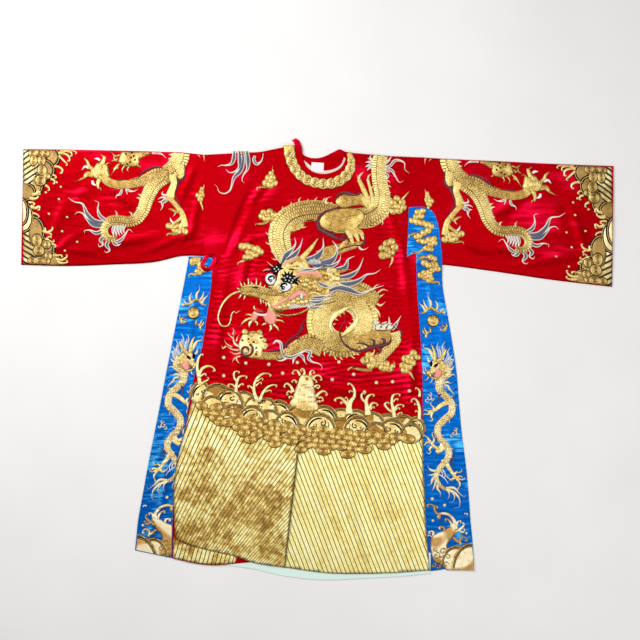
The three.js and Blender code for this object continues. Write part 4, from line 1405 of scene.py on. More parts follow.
# beard
for k in range(12):
    x = -128 + 10 * k
    foot = 162 + 1.5 * k
    front.flame("silver", [(x + 8, 190), (x + 2, 176 + 0.5 * k), (x - 6, foot)], 8, 8 + 0.2 * k)
    front.flame("slate", [(x + 11, 187), (x + 6, 176 + 0.5 * k), (x - 1, foot + 2)], 4.2, 11 + 0.2 * k)
# spines along the snout and the jaw
for root, tip in (
        ((-256, 244), (-264, 265)), ((-246, 248), (-250, 262)), ((-234, 252), (-236, 276)),
        ((-222, 252), (-226, 264)), ((-208, 250), (-208, 276)), ((-196, 246), (-192, 264)),
        ((-264, 236), (-276, 242)), ((-264, 228), (-276, 226)), ((-258, 220), (-270, 204)),
        ((-246, 216), (-252, 200)), ((-194, 204), (-192, 184)), ((-176, 194), (-174, 176)),
        ((-186, 200), (-182, 188)), ((-166, 186), (-160, 172)), ((-182, 242), (-178, 252))):
    front.flame("bright", [root, ((root[0] + tip[0]) / 2 + 1, (root[1] + tip[1]) / 2), tip], 8, 7)
front.sew("gold", ribbon([(-56, 338, 22), (-38, 358, 18), (-16, 384, 12), (2, 410, 3)], 1.6, 4, 7), 9)
for k in range(4):
    x, y = -50 + 12 * k, 348 + 15 * k
    front.sew("antique", ribbon([
        (x - 9 + k, y + 5, 2), (x, y + 1, 2.6), (x + 8 - k, y - 7, 2)], 0.8, 3, 4), 12)
tally("mane", front)

# %% Dragon eyes and brows
for x, y, radius, squash, turn in ((-159, 271, 18.5, 1.15, 0.1), (-109, 246, 22.5, 0.8, 0.3)):
    front.sew("black", button(x, y, radius + 0.8, 1.4, 2, 20, squash, turn), 12)
    front.sew("white", button(x, y, radius, 2.0, 3, 20, squash, turn), 13)
    px, py = (x + 2, y - 1) if radius < 20 else (x - 5, y)
    front.sew("black", button(px - 2, py - 4, 8.6, 1.4, 2, 14), 17)
    front.sew("black", ribbon([
        (px - 9, py - 3, 7.5), (px - 8, py + 5, 8.5), (px - 1, py + 10, 8), (px + 7, py + 10, 7),
        (px + 10, py + 4, 5.5), (px + 5, py + 1, 3)], 1.4, 3, 6), 17)
    front.sew("white", button(px - 1, py - 4.5, 2.6, 0.8, 1, 8), 21)
    front.sew("white", ribbon([
        (px + 4, py - 1, 2), (px + 1, py + 2, 2.4), (px - 2, py, 2)], 0.8, 2, 4), 21)
front.sew("black", patch([
    (-150, 286), (-152, 298), (-180, 296), (-156, 304), (-168, 320), (-148, 312), (-150, 330),
    (-140, 316), (-132, 334), (-130, 318), (-118, 330), (-124, 312), (-114, 308), (-130, 300),
    (-138, 288)], 1.3, 3, 5, sharp=True), 17)
front.sew("black", patch([
    (-118, 262), (-126, 272), (-116, 278), (-124, 290), (-112, 286), (-112, 302), (-103, 288),
    (-96, 300), (-94, 286), (-82, 302), (-84, 284), (-72, 284), (-76, 274), (-54, 282), (-68, 270),
    (-52, 258), (-70, 264), (-62, 250), (-80, 256), (-94, 254), (-106, 260)], 1.3, 3, 5, sharp=True), 17)
for x, y in (
        (-146, 306), (-138, 312), (-132, 304), (-141, 298), (-112, 276), (-102, 280), (-92, 276),
        (-84, 268), (-96, 266), (-108, 268), (-88, 260), (-78, 274)):
    front.sew("white", button(x, y, 3.3, 0.8, 1, 8), 21)
front.flames("pink", 5, 13, (
    [(-156, 300), (-172, 304), (-186, 298)], [(-150, 312), (-162, 322), (-170, 330)]))
tally("eyes", front)

# %% Dragon mouth, tongue and whiskers
front.sew("pink", patch([
    (-224, 146), (-216, 162), (-200, 158), (-186, 152), (-172, 158), (-166, 176), (-152, 184),
    (-142, 166), (-138, 142), (-144, 120), (-158, 116), (-174, 124), (-184, 142), (-200, 146),
    (-212, 128), (-226, 128)], 1.8, 3.5, 6), 5)
front.sew("flame", patch([
    (-214, 178), (-204, 172), (-190, 166), (-176, 170), (-182, 160), (-200, 156), (-212, 164)], 1.2, 3), 7)
front.sew("white", ribbon([
    (-216, 158, 4), (-204, 152, 6), (-186, 150, 6), (-172, 152, 4)], 1.2, 3, 5), 8)
front.flames("bright", 11, 6, (
    [(-222, 148), (-236, 152), (-248, 148)], [(-224, 140), (-244, 132), (-262, 114)],
    [(-222, 130), (-230, 122), (-232, 106)], [(-212, 128), (-204, 122), (-206, 112)],
    [(-174, 122), (-184, 118), (-190, 112)], [(-160, 116), (-158, 104), (-166, 92)],
    [(-150, 118), (-138, 108), (-130, 94)], [(-142, 132), (-122, 130), (-110, 122)],
    [(-146, 150), (-130, 146), (-118, 142)], [(-206, 166), (-216, 174), (-212, 184)]))
front.sew("bright", ribbon([
    (-258, 232, 6), (-290, 220, 7), (-315, 197, 7), (-331, 168, 6.5), (-336, 132, 6), (-322, 112, 5.5),
    (-304, 114, 5), (-295, 132, 5), (-291, 152, 4.5), (-283, 162, 4), (-276, 156, 4), (-268, 162, 3),
    (-260, 164, 2)], 1.3, 3.5, 6), 10)
front.sew("antique", ribbon([
    (-160, 180, 5), (-145, 160, 6), (-118, 150, 7), (-82, 150, 7), (-50, 160, 7), (-18, 178, 6),
    (20, 186, 5), (62, 196, 2)], 1.3, 3.5, 6), 12)
tally("mouth", front)

# %% Spray dots
for x, y in (
        (-318, 5), (-243, -14), (-165, -18), (-68, -12), (73, -10), (-318, -57), (-118, -48), (50, -70),
        (123, -52), (200, -80), (255, -77), (312, -108), (-20, -60), (160, -112)):
    front.sew("cream", button(x, y, 6.6, 1.2, 2, 9), 0)
tally("spray dots", front)

# %% [markdown]
# ## Standing water
# The hem is the classic sea border: long slanting rows of gold for deep water, foam above it
# in clusters of rings, and wave crests on top. On the real robe the rows are satin stitch in
# gold over padding with a dark line of thread left between them, so the rows here are one
# padded field, and the finish draws the lines from the `across` number of each point. On the
# wearer's right the rows fan out; on the left they run parallel, and a seam divides them.

# %% Deep water
def water_rows(name, period, dark, middle, pale, patchy, mottle_and_glint, shadows=(), gap_share=0.09,
               gap_colour=srgb(52, 36, 12)):
    """Padded rows with dark gaps; painted shadows are (x, y, half width, half height, depth) in metres."""
    finish = Finish(name, Metallic=0.35, Specular_IOR_Level=0.6)
    along, across = finish.stitch("along"), finish.stitch("across")
    swing = finish.noise(16.0, 2.0) * 3.0
    row = (across + swing) / period
    ridge = (row.math("FRACT") - 0.5).math("ABSOLUTE")
    line = 1.0 - ridge.math("SUBTRACT", 0.5).math("ABSOLUTE").between(gap_share - 0.03, gap_share + 0.03)
    strand = along.wave(2.2) * 0.3 + finish.noise(420.0, 2.0)
    number = row.math("FLOOR")
    own = ((number * 12.9898).math("SINE") * 43758.5).math("FRACT")
    large = finish.noise(9.0, 2.0)
    small = finish.noise(64.0, 3.0)
    split = {0: finish.place()}
    x = finish.node("ShaderNodeSeparateXYZ", None, split, 0)
    y = finish.node("ShaderNodeSeparateXYZ", None, split, 1)
    shade = 0.0 * x
    # painted shade: each shadow darkens the rows in a fold hollow, its edge broken by noise
    for cx, cy, wide, tall, depth in shadows:
        reach = ((x - cx) / wide) ** 2.0 + ((y - cy) / tall) ** 2.0 + (large - 0.5) * 2.0
        shade = shade + (1.0 - reach.between(0.3, 1.5)) * depth
    # random tone, noise mottle that is partly painted glint, and the painted shadows set the tone
    tone_and_painted_light = (0.6 + (large - 0.5) * patchy + (small - 0.5) * mottle_and_glint + (strand - 0.6) * 0.5
             + (own - 0.5) * 0.14 - shade).limited()
    stops = [(0.0, dark), (0.36, middle), (0.62, pale), (0.9, srgb(255, 250, 200))]
    ramp = finish.node("ShaderNodeValToRGB", {"stops": stops}, {"Fac": tone_and_painted_light})
    gap = line * (0.82 + finish.noise(110.0, 1.0) * 0.36)
    finish.colour(finish.mix(gap.limited(), ramp, gap_colour))
    finish.rough(0.46 - tone_and_painted_light * 0.1)
    finish.bump((1.0 - line) * 0.7 + strand * 0.25, 0.0014, 0.8)
    return finish.material


# painted shadows in the fold hollows of the fanned rows
HOLLOW_SHADOWS = (
    (-0.385, -0.60, 0.12, 0.06, 0.22), (-0.215, -0.50, 0.10, 0.075, 0.24),
    (-0.40, -0.325, 0.06, 0.03, 0.14), (-0.15, -0.62, 0.05, 0.07, 0.2), (-0.41, -0.46, 0.08, 0.035, 0.18))
# the fanned half is painted darker and more mottled than the even half: a painted reflection, as its rows
# turn away from the light, with mottle that is partly random tone and partly painted glints
THREADS["water_fan"] = water_rows("water_fan", 14.4, srgb(112, 74, 14), srgb(190, 146, 52),
                                  srgb(250, 228, 136), 0.6, 1.3, HOLLOW_SHADOWS, 0.1)
THREADS["water_even"] = water_rows("water_even", 15.0, srgb(160, 118, 36), srgb(230, 196, 96),
                                   srgb(254, 238, 150), 0.4, 0.7)
SLOTS["water_fan"] = SLOTS["water_even"] = "gold_couching"
CENTRE_TOP, CENTRE_FOOT = (-64, -300), (-112, -712)
FAN_X, FAN_Y, FAN_REACH = -911, -1440, 1040  # where the rows meet, and how far off they are full width

body_outline = eased_foot(plan_outline("front_panel", 6.0))


def drawn_in(outline, distance):
    """An outline moved inward."""
    if area_of(outline) < 0:
        outline = outline[::-1]
    tangent = np.roll(outline, -1, axis=0) - np.roll(outline, 1, axis=0)
    tangent /= np.maximum(np.hypot(*tangent.T), 1e-9)[:, None]
    return outline + distance * np.column_stack([-tangent[:, 1], tangent[:, 0]])


def centre_x(y):
    share = (y - CENTRE_TOP[1]) / (CENTRE_FOOT[1] - CENTRE_TOP[1])
    return CENTRE_TOP[0] + (CENTRE_FOOT[0] - CENTRE_TOP[0]) * share


WATER_TOP = [(-440, -130), (-300, -170), (-150, -220), (0, -250), (150, -250), (380, -230)]


def water_half(left):
    """The front's lower edge on one side of the centre seam, closed along the seam."""
    edge = drawn_in(body_outline, 0.4)
    tops = np.array(WATER_TOP, float)
    under = edge[:, 1] < np.interp(edge[:, 0], tops[:, 0], tops[:, 1])
    beside = edge[:, 0] < centre_x(edge[:, 1]) - 4 if left else edge[:, 0] > centre_x(edge[:, 1]) + 4
    kept = edge[under & beside]
    gap = np.argmax(np.hypot(*(np.roll(kept, -1, axis=0) - kept).T))
    kept = np.roll(kept, -(gap + 1), axis=0)
    side = -0.3 if left else 0.3
    foot = kept[-1] if left else kept[0]
    seam = [(centre_x(y) + side, y) for y in np.linspace(foot[1] - 0.5, -235, 60)]
    wanted = tops[tops[:, 0] < -66] if left else tops[tops[:, 0] > -64]
    crown = [tuple(p) for p in wanted]
    if left:
        ring = [tuple(p) for p in kept] + seam + crown[::-1][:-1]
    else:
        ring = seam + crown[:-1] + [tuple(p) for p in kept[::-1]]
    return np.array(ring)


def water_field(outline, spacing, grid, lift, across, sideways=False):
    """Padded rows of deep water inside an outline; across(x, y) numbers the rows."""
    ring = evened(np.array(outline, float), spacing)
    if area_of(ring) < 0:
        ring = ring[::-1]
    flat, faces, rim, rise = padded(ring, lattice(ring, *grid), lift, 1.5)
    x, y = flat[:, 0], flat[:, 1]
    return {"x": x, "y": y, "rise": rise, "along": x if sideways else y, "across": across(x, y),
            "rim": rim, "side": 0 * rim, "faces": faces}


def fanned(x, y):
    return (x - FAN_X) / (y - FAN_Y) * FAN_REACH


EVEN_LEAN = 0.384


def parallel(x, y):
    return x + EVEN_LEAN * y


front.sew("water_fan", water_field(water_half(True), 7.0, (10, 9, 4.0), 0.9, fanned))
front.sew("water_even", water_field(water_half(False), 7.0, (10, 9, 4.0), 0.9, parallel))
front.sew("antique", ribbon([(centre_x(y), y, 3.0) for y in range(-330, -710, -30)], 0.7, 12, 4), 3)
tally("water", front)

# %% [markdown]
# ## Foam and crests
# Ring clusters hang from the crests like scales: each ring is a boss of couched circles, and
# the lower ones lie over the upper ones. Their rows are shifted a little at random, because
# hand work is never quite even. The crests have a black, white and black rim, a body of dark
# or pale gold, and some a black hook at the heart, so one function draws them all.

# %% Foam
CREST_LINE = np.array([
    (-440, -72), (-415, -78), (-330, -90), (-290, -112), (-200, -132), (-150, -142), (-90, -152),
    (-50, -162), (30, -166), (60, -172), (120, -177), (180, -183), (270, -192), (350, -200),
    (380, -202)], float)
FOAM_FOOT = np.array([
    (-440, -150), (-395, -185), (-345, -232), (-300, -232), (-262, -262), (-225, -288), (-180, -286),
    (-145, -322), (-105, -298), (-65, -333), (-25, -318), (20, -345), (60, -314), (100, -338),
    (150, -334), (182, -300), (230, -325), (280, -298), (330, -302), (380, -285)], float)


FOAM_DROP, FOAM_STEP = 76, 17  # mm below the crests, and from one row of rings to the next


def crest_y(x):
    return float(np.interp(x, CREST_LINE[:, 0], CREST_LINE[:, 1]))


def edge_x(y):
    """Left and right edges of the front at a height."""
    near = body_outline[np.abs(body_outline[:, 1] - y) < 8]
    return near[:, 0].min(), near[:, 0].max()


FOAM_ROWS, FOAM_ACROSS, FOAM_LEFT, RING_STEP = 9, 21, -430, 41
rng = np.random.default_rng(5)
count = 0
for row in range(FOAM_ROWS):
    for k in range(FOAM_ACROSS):
        x = FOAM_LEFT + RING_STEP * k + (row % 2) * 20 + rng.uniform(-5, 5)
        y = crest_y(x) - FOAM_DROP - FOAM_STEP * row + rng.uniform(-4, 4)
        foot = float(np.interp(x, FOAM_FOOT[:, 0], FOAM_FOOT[:, 1]))
        ry = rng.uniform(14, 17)
        rx = rng.uniform(22, 27)
        low, high = edge_x(y)
        if y - ry < foot - 2:
            continue
        rx = min(rx, x - low - 2, high - x - 2)
        if rx < 11:
            continue
        front.sew("foam", button(x, y, rx, 1.5, 5, 18, ry / rx, rng.uniform(-0.15, 0.15)),
                  12.0 + 0.6 * row)
        count += 1
print(count, "foam rings")


# %% Crests
def crest(work, x, y, rx, ry, level, kind, flip=1, fill="crest"):
    """One wave crest: its foot's middle, half width and height."""
    def arc(scale_x, scale_y, low, high, width):
        a = np.radians(np.linspace(low, high, 13))
        return [(x + flip * rx * scale_x * math.cos(t), y + ry * scale_y * math.sin(t), width)
                for t in a]
    bowl = [(x + rx * math.cos(a), y + ry * math.sin(a)) for a in np.radians(range(0, 181, 15))]
    bowl += [(x - rx * 0.6, y - ry * 0.3), (x, y - ry * 0.45), (x + rx * 0.6, y - ry * 0.3)]
    work.sew("bright" if kind in ("pale", "hook") else fill, patch(bowl, 1.0, 5, 9), level)
    if kind == "fan":
        wedge = [
            (x + flip * rx * 0.05, y - ry * 0.2), (x + flip * rx * 0.2, y + ry * 0.8),
            (x + flip * rx * 0.72, y + ry * 0.5), (x + flip * rx * 0.8, y + ry * 0.05)]
        work.sew("bright", patch(wedge, 1.0, 4, 8), level + 1)
    work.sew("antique", ribbon(arc(1.08, 1.09, 2, 178, 6.0), 1.0, 5, 5), level + 0.5)
    work.sew("black", ribbon(arc(0.99, 0.99, 4, 176, 7.2), 1.0, 5, 5), level + 1.6)
    work.sew("cream", ribbon(arc(0.99, 0.99, 4, 176, 2.2), 0.9, 5, 4), level + 4.4)
    if kind == "hook":
        angles = np.radians((172, 156, 138, 118, 98, 80))
        hook = [(x + flip * rx * 0.78 * math.cos(t), y + ry * 0.78 * math.sin(t), width)
                for t, width in zip(angles, (2, 5, 6.5, 6, 5, 3))]
        work.sew("black", ribbon(hook, 0.9, 3, 5), level + 3.4)
        work.curl("black", x + flip * rx * 0.2, y + ry * 0.46, 0.22 * rx, 60 if flip > 0 else 120,
                  1.1 * flip, 4.0, level + 4.0)
        work.curl("black", x - flip * rx * 0.36, y + ry * 0.3, 0.15 * rx, 60 if flip > 0 else 120,
                  1.0 * flip, 3.4, level + 4.0)
        work.flame("black", [
            (x + flip * rx * 0.5, y + ry * 0.1), (x + flip * rx * 0.62, y + ry * 0.34),
            (x + flip * rx * 0.5, y + ry * 0.56)], 5, level + 3.6)
    if kind == "fan":
        for share in (0.25, 0.5, 0.75):
            tip = (x + rx * (share * 1.5 - 0.75), y + ry * 0.8)
            work.flame("black", [(x, y - 4), ((x + tip[0]) / 2, y + ry * 0.35), tip], 2.4, level + 2.6)


for k, (x, y, rx, ry, kind, flip) in enumerate((
        (-396, -136, 34, 56, "hook", 1), (-340, -142, 52, 54, "gold", -1),
        (-300, -158, 46, 54, "hook", 1), (-252, -168, 44, 54, "gold", -1),
        (-214, -180, 36, 50, "hook", -1), (-172, -190, 36, 54, "pale", 1),
        (-132, -196, 44, 52, "hook", -1), (-48, -212, 62, 56, "gold", 1),
        (22, -212, 46, 50, "hook", -1), (80, -220, 44, 48, "pale", 1), (132, -226, 46, 50, "hook", 1),
        (186, -232, 42, 48, "gold", -1), (238, -240, 46, 50, "pale", 1),
        (292, -244, 42, 50, "gold", -1), (334, -248, 30, 48, "hook", 1))):
    crest(front, x, y, rx, ry, 3 + 1.3 * (k % 3), kind, flip)
for k, (x, y, rx, ry, kind, flip) in enumerate((
        (-356, -172, 40, 44, "pale", 1), (-282, -196, 46, 40, "gold", -1),
        (-222, -212, 44, 50, "hook", 1), (-164, -228, 48, 52, "gold", -1),
        (-104, -236, 42, 54, "hook", -1), (8, -240, 50, 50, "hook", 1), (76, -246, 42, 42, "gold", 1),
        (136, -250, 46, 52, "hook", -1), (198, -252, 36, 34, "gold", 1),
        (252, -262, 48, 54, "hook", -1), (318, -268, 38, 46, "gold", 1))):
    crest(front, x, y, rx, ry, 7.5 + 1.3 * (k % 3), kind, flip)
tally("crests", front)

# %% [markdown]
# ## Spray
# Spray rises from the crests in cream gold, each jet ending in a small curl. The tall spout in
# the middle is a padded patch with arcs stitched round its heart. A jet is drawn as a short
# list of points with widths, and a function adds the curl, so all of them end alike.

# %% Spray
def jet(work, rows, bead=6.0, thread="bright", level=7.0):
    """A jet of spray along rows of (x, y, width) that ends in a small curl."""
    (x0, y0, _), (x, y, width) = rows[-2:]
    heading = math.atan2(y - y0, x - x0)
    if len(rows) > 2:
        before = math.atan2(y0 - rows[-3][1], x0 - rows[-3][0])
        turn = 1 if math.sin(heading - before) > 0 else -1
    else:
        turn = 1 if x < x0 else -1
    middle = (x - turn * 0.5 * bead * math.sin(heading), y + turn * 0.5 * bead * math.cos(heading))
    curl = [(middle[0] + 0.55 * bead * math.cos(a), middle[1] + 0.55 * bead * math.sin(a),
             max(width, 0.95 * bead) * share)
            for a, share in ((heading - turn * 0.3, 1.0), (heading + turn * 0.9, 0.95),
                             (heading + turn * 2.1, 0.8))]
    work.sew(thread, ribbon(list(rows) + curl, 1.6, 3.0, 6), level)


front.sew("bright", patch([
    (-94, -158), (-84, -130), (-76, -104), (-68, -84), (-62, -66), (-53, -53), (-39, -52), (-25, -55),
    (-15, -64), (-12, -85), (-7, -109), (-3, -139), (4, -172), (-40, -180)], 1.6, 4, 8), 6)
for k, radius in enumerate((5, 10.5, 16, 21.5, 27)):
    top = -100 - 0.4 * radius
    arc = [(-37 - radius * 1.12, -156), (-37 - radius, -132)]
    arc += [(-37 + radius * math.cos(a), top + radius * math.sin(a))
            for a in np.radians((170, 130, 90, 50, 10))]
    arc += [(-37 + radius, -132), (-37 + radius * 1.1, -156)]
    front.sew("brown", ribbon([(x, y, 2.0) for x, y in arc], 0.8, 4, 4), 11)
for x in (-62, -55, -46, -30, -22, -15):
    front.sew("brown", ribbon([
        (x, -150, 1.4), (x * 0.9 - 4, -112, 1.8), (x * 0.8 - 8, -84, 1.2)], 0.6, 4, 4), 10)
front.sew("brown", button(-36, -67, 6, 0.8, 2, 10), 11)
for rows in (
        [(-59, -56, 10), (-68, -40, 8), (-78, -38, 6), (-85, -46, 5)],
        [(-46, -54, 10), (-44, -43, 8), (-51, -32, 6), (-56, -36, 5)],
        [(-24, -56, 10), (-24, -44, 8), (-19, -39, 6), (-12, -42, 5)],
        [(-16, -68, 10), (-8, -58, 8), (5, -56, 7), (14, -66, 5)], [(-12, -70, 6), (-4, -74, 5)],
        [(-11, -96, 9), (-3, -89, 7), (7, -92, 6), (4, -98, 5)],
        [(-5, -128, 12), (8, -114, 9), (22, -109, 8), (32, -118, 5)],
        [(3, -132, 8), (14, -130, 7), (19, -138, 5)], [(-2, -146, 8), (4, -142, 5)],
        [(-70, -80, 9), (-78, -71, 7), (-85, -73, 5)],
        [(-82, -112, 13), (-93, -90, 9), (-105, -83, 8), (-113, -91, 5)],
        [(-86, -115, 9), (-97, -109, 7), (-104, -116, 5)], [(-80, -130, 9), (-92, -127, 6)],
        [(-400, -85, 14), (-400, -48, 12), (-388, -30, 10), (-368, -24, 8), (-350, -34, 6)],
        [(-404, -60, 12), (-408, -20, 10), (-402, 6, 8), (-394, 16, 5)],
        [(-400, -62, 8), (-384, -50, 6)], [(-396, -84, 10), (-378, -74, 7), (-370, -68, 5)],
        [(-277, -112, 13), (-274, -82, 10), (-266, -62, 9), (-244, -58, 6)],
        [(-272, -78, 9), (-283, -60, 8), (-281, -44, 7), (-269, -42, 5)],
        [(-278, -96, 9), (-290, -86, 7), (-300, -86, 6)], [(-270, -96, 8), (-257, -84, 5)],
        [(-204, -142, 15), (-215, -112, 12), (-214, -85, 10), (-204, -64, 9), (-184, -50, 8),
        (-161, -52, 5)], [(-206, -76, 7), (-190, -66, 5)], [(-210, -92, 7), (-195, -80, 5)],
        [(-214, -112, 9), (-222, -98, 8), (-230, -91, 6)],
        [(-197, -142, 12), (-186, -116, 10), (-170, -96, 9), (-143, -88, 6)],
        [(-178, -112, 7), (-161, -106, 5)],
        [(108, -186, 28), (107, -162, 20), (114, -143, 14), (125, -126, 11), (125, -104, 9),
        (110, -83, 6)], [(104, -160, 13), (92, -142, 10), (78, -132, 9), (61, -136, 6)],
        [(122, -112, 7), (111, -108, 5)], [(96, -150, 8), (84, -146, 6)],
        [(104, -148, 7), (100, -132, 5)],
        [(172, -190, 24), (168, -162, 16), (165, -145, 12), (172, -126, 10), (187, -120, 6)],
        [(164, -147, 10), (151, -134, 9), (150, -120, 7), (156, -115, 5)],
        [(176, -168, 11), (188, -149, 8), (202, -152, 5)], [(180, -172, 7), (188, -163, 5)],
        [(262, -198, 15), (256, -168, 12), (252, -142, 10), (258, -122, 8), (276, -119, 5)],
        [(258, -182, 11), (238, -168, 9), (229, -152, 8), (238, -147, 5)],
        [(260, -170, 10), (274, -156, 8), (290, -156, 5)], [(256, -146, 7), (268, -135, 5)],
        [(262, -176, 7), (274, -166, 5)], [(270, -190, 8), (282, -182, 5)],
        [(345, -205, 13), (346, -168, 11), (340, -146, 9), (328, -134, 7), (319, -139, 5)],
        [(346, -128, 9), (346, -108, 8), (338, -98, 5)], [(344, -160, 7), (334, -152, 5)],
        [(346, -186, 8), (338, -176, 5)]):
    jet(front, rows, max(4.5, rows[-1][2] + 0.8))
tally("spray", front)

# %% [markdown]
# ## Sleeve dragons
# Each sleeve carries the rear half of a dragon that comes over the shoulder fold: its body
# curls up at the end round a fan of slate hairs, one hind leg reaches towards the cuff and one
# hangs below. The two sleeves mirror each other, so the motif is drawn once, on the left
# sleeve, and the right one is placed by where it lies between seam and cuff and between folds.

# %% Sleeve surfaces
def folds_of(rows, x):
    """Lower and upper fold of a sleeve at x."""
    low = rows[np.argsort(rows[:, 2])]
    high = rows[np.argsort(rows[:, 0])]
    return np.interp(x, low[:, 2], low[:, 3]), np.interp(x, high[:, 0], high[:, 1])


def on_sleeve(rows):
    def surface(x, y):
        low, high = folds_of(rows, x)
        return sleeve_top(x, y, np.clip((y - low) / (high - low), 0, 1))
    return surface


def eased(value, low, high):
    """Presses what would run past the limits in towards them."""
    over = np.maximum(value - high, 0)
    under = np.maximum(low - value, 0)
    return value - 0.97 * over + 0.97 * under


def to_left(x, y):
    x = eased(x, -1000.0, -384.0)
    low, high = folds_of(SLEEVE_LEFT, x)
    return x, eased(y, low + 3, high - 3)


LEFT_SEAM, LEFT_CUFF = -382, -1002.5
RIGHT_SEAM, RIGHT_CUFF = 362, 1003.5


def to_right(x, y):
    x, y = to_left(x, y)
    low, high = folds_of(SLEEVE_LEFT, x)
    v = (y - low) / (high - low)
    u = (x - LEFT_SEAM) / (LEFT_CUFF - LEFT_SEAM)
    x = RIGHT_SEAM + u * (RIGHT_CUFF - RIGHT_SEAM)
    low, high = folds_of(SLEEVE_RIGHT, x)
    return x, low + v * (high - low)


left_sleeve = Needlework("left_sleeve", on_sleeve(SLEEVE_LEFT), to_left)
right_sleeve = Needlework("right_sleeve", on_sleeve(SLEEVE_RIGHT), to_right, mirrored=True)
SLEEVES = (left_sleeve, right_sleeve)
print("sleeves from", SLEEVE_LEFT[-1, 0], "to", SLEEVE_RIGHT[-1, 0], "mm")

# %% Tail fan and body
body = [
    (-682, 412, 20), (-704, 408, 24), (-722, 424, 27), (-724, 446, 30), (-706, 466, 34),
    (-676, 470, 36), (-648, 466, 36), (-618, 472, 38), (-594, 500, 42), (-578, 545, 46),
    (-556, 590, 52), (-520, 622, 56), (-484, 652, 58), (-466, 684, 60), (-462, 712, 60)]
for work in SLEEVES:
    for line, width in (
            ([(-722, 462), (-758, 468), (-782, 492), (-800, 528), (-826, 534), (-846, 548)], 19),
            ([(-722, 452), (-762, 458), (-784, 478), (-800, 496), (-816, 498), (-824, 490)], 19),
            ([(-724, 438), (-752, 428), (-776, 438), (-792, 434), (-790, 426)], 14),
            ([(-715, 470), (-738, 486), (-746, 510), (-744, 532), (-756, 538)], 13),
            ([(-718, 418), (-736, 404), (-728, 388), (-742, 382), (-744, 392)], 14),
            ([(-706, 404), (-716, 388), (-706, 368), (-718, 362), (-724, 368)], 14),
            ([(-694, 398), (-686, 390), (-672, 388), (-668, 394)], 13),
            ([(-690, 396), (-668, 404), (-652, 424), (-640, 440), (-626, 430)], 12)):
        work.flame("slate", line, width, 2, 1.4)
    for k in range(5):
        x = -694 + 9 * k
        work.flame("slate", [(x + 5, 457 - k), (x - 1, 437), (x + 5, 412 + 3 * k)], 12, 2 + 0.4 * k)
    work.sew("bands", ribbon(body, 2.4, 4.5, 11), 1)
    edging(work, body, 1, 4.0, "bright", 1.5)
    edging(work, body, 1, 1.6, "antique", 5.5, 9.0)
    for root, tip in (
            ((-682, 486), (-688, 504)), ((-630, 486), (-640, 500)), ((-622, 484), (-626, 496)),
            ((-598, 512), (-616, 512)), ((-600, 540), (-616, 548)), ((-596, 548), (-610, 560)),
            ((-494, 676), (-508, 680)), ((-490, 690), (-506, 694))):
        mid = ((root[0] + tip[0]) / 2 + 3, (root[1] + tip[1]) / 2 + 2)
        work.flame("cream", [root, mid, tip], 9, 3)
tally("sleeve bodies", *SLEEVES)

# %% The leg that reaches towards the cuff
for work in SLEEVES:
    work.sew("scales", ribbon([
        (-505, 625, 60), (-545, 622, 54), (-585, 608, 40), (-625, 596, 34)], 2.4, 4.5, 9), 2)
    work.sew("gold", ribbon([
        (-618, 598, 34), (-655, 592, 32), (-690, 594, 30), (-716, 606, 30), (-730, 630, 32)], 2.1, 4.5,
        9), 3)
    work.sew("maroon", ribbon([
        (-700, 606, 2), (-668, 610, 3), (-634, 608, 4), (-608, 616, 5), (-590, 636, 6), (-560, 650, 8),
        (-540, 652, 6), (-522, 646, 2)], 1.3, 4, 5), 5)
    work.sew("gold", patch([
        (-708, 640), (-712, 662), (-728, 664), (-745, 668), (-756, 656), (-770, 640), (-764, 622),
        (-750, 610), (-735, 604), (-716, 612), (-704, 622)], 2.2, 4, 7), 5)
    for toe in (
            [(-735, 656, 16), (-726, 674, 14), (-722, 688, 9)],
            [(-758, 640, 16), (-776, 656, 12), (-782, 672, 9), (-792, 682, 4)],
            [(-758, 624, 20), (-782, 628, 18), (-792, 616, 10)],
            [(-740, 612, 16), (-746, 594, 12), (-744, 578, 6)]):
        work.sew("gold", ribbon(toe, 1.7, 4, 6), 6)
    for x, y, r in (
            (-722, 652, 9), (-740, 655, 9), (-757, 641, 9), (-752, 622, 9), (-738, 636, 10),
            (-722, 632, 8), (-736, 616, 7)):
        work.sew("bright", button(x, y, r, 1.5, 3, 11, 0.85, 0.2 * r), 9)
        work.sew("antique", button(x, y, 0.4 * r, 0.8, 2, 8), 13)
    work.flames("gold", 8, 6, (
        [(-785, 618), (-800, 612), (-812, 606), (-824, 604)], [(-724, 686), (-732, 692), (-738, 698)],
        [(-720, 660), (-706, 666), (-700, 660)], [(-742, 582), (-734, 576), (-736, 570)]))
    work.flames("white", 11, 7, (
        [(-738, 674), (-746, 680), (-758, 680)], [(-776, 648), (-788, 654), (-800, 642)],
        [(-764, 606), (-762, 596), (-748, 588)]))
    work.flame("slate", [(-664, 576), (-668, 562), (-684, 552), (-684, 544)], 10, 4)
    work.flame("slate", [(-652, 584), (-640, 572), (-622, 570), (-610, 576)], 9, 4)
    work.flame("silver", [(-650, 580), (-648, 566), (-644, 558)], 8, 4)
tally("legs towards the cuffs", *SLEEVES)

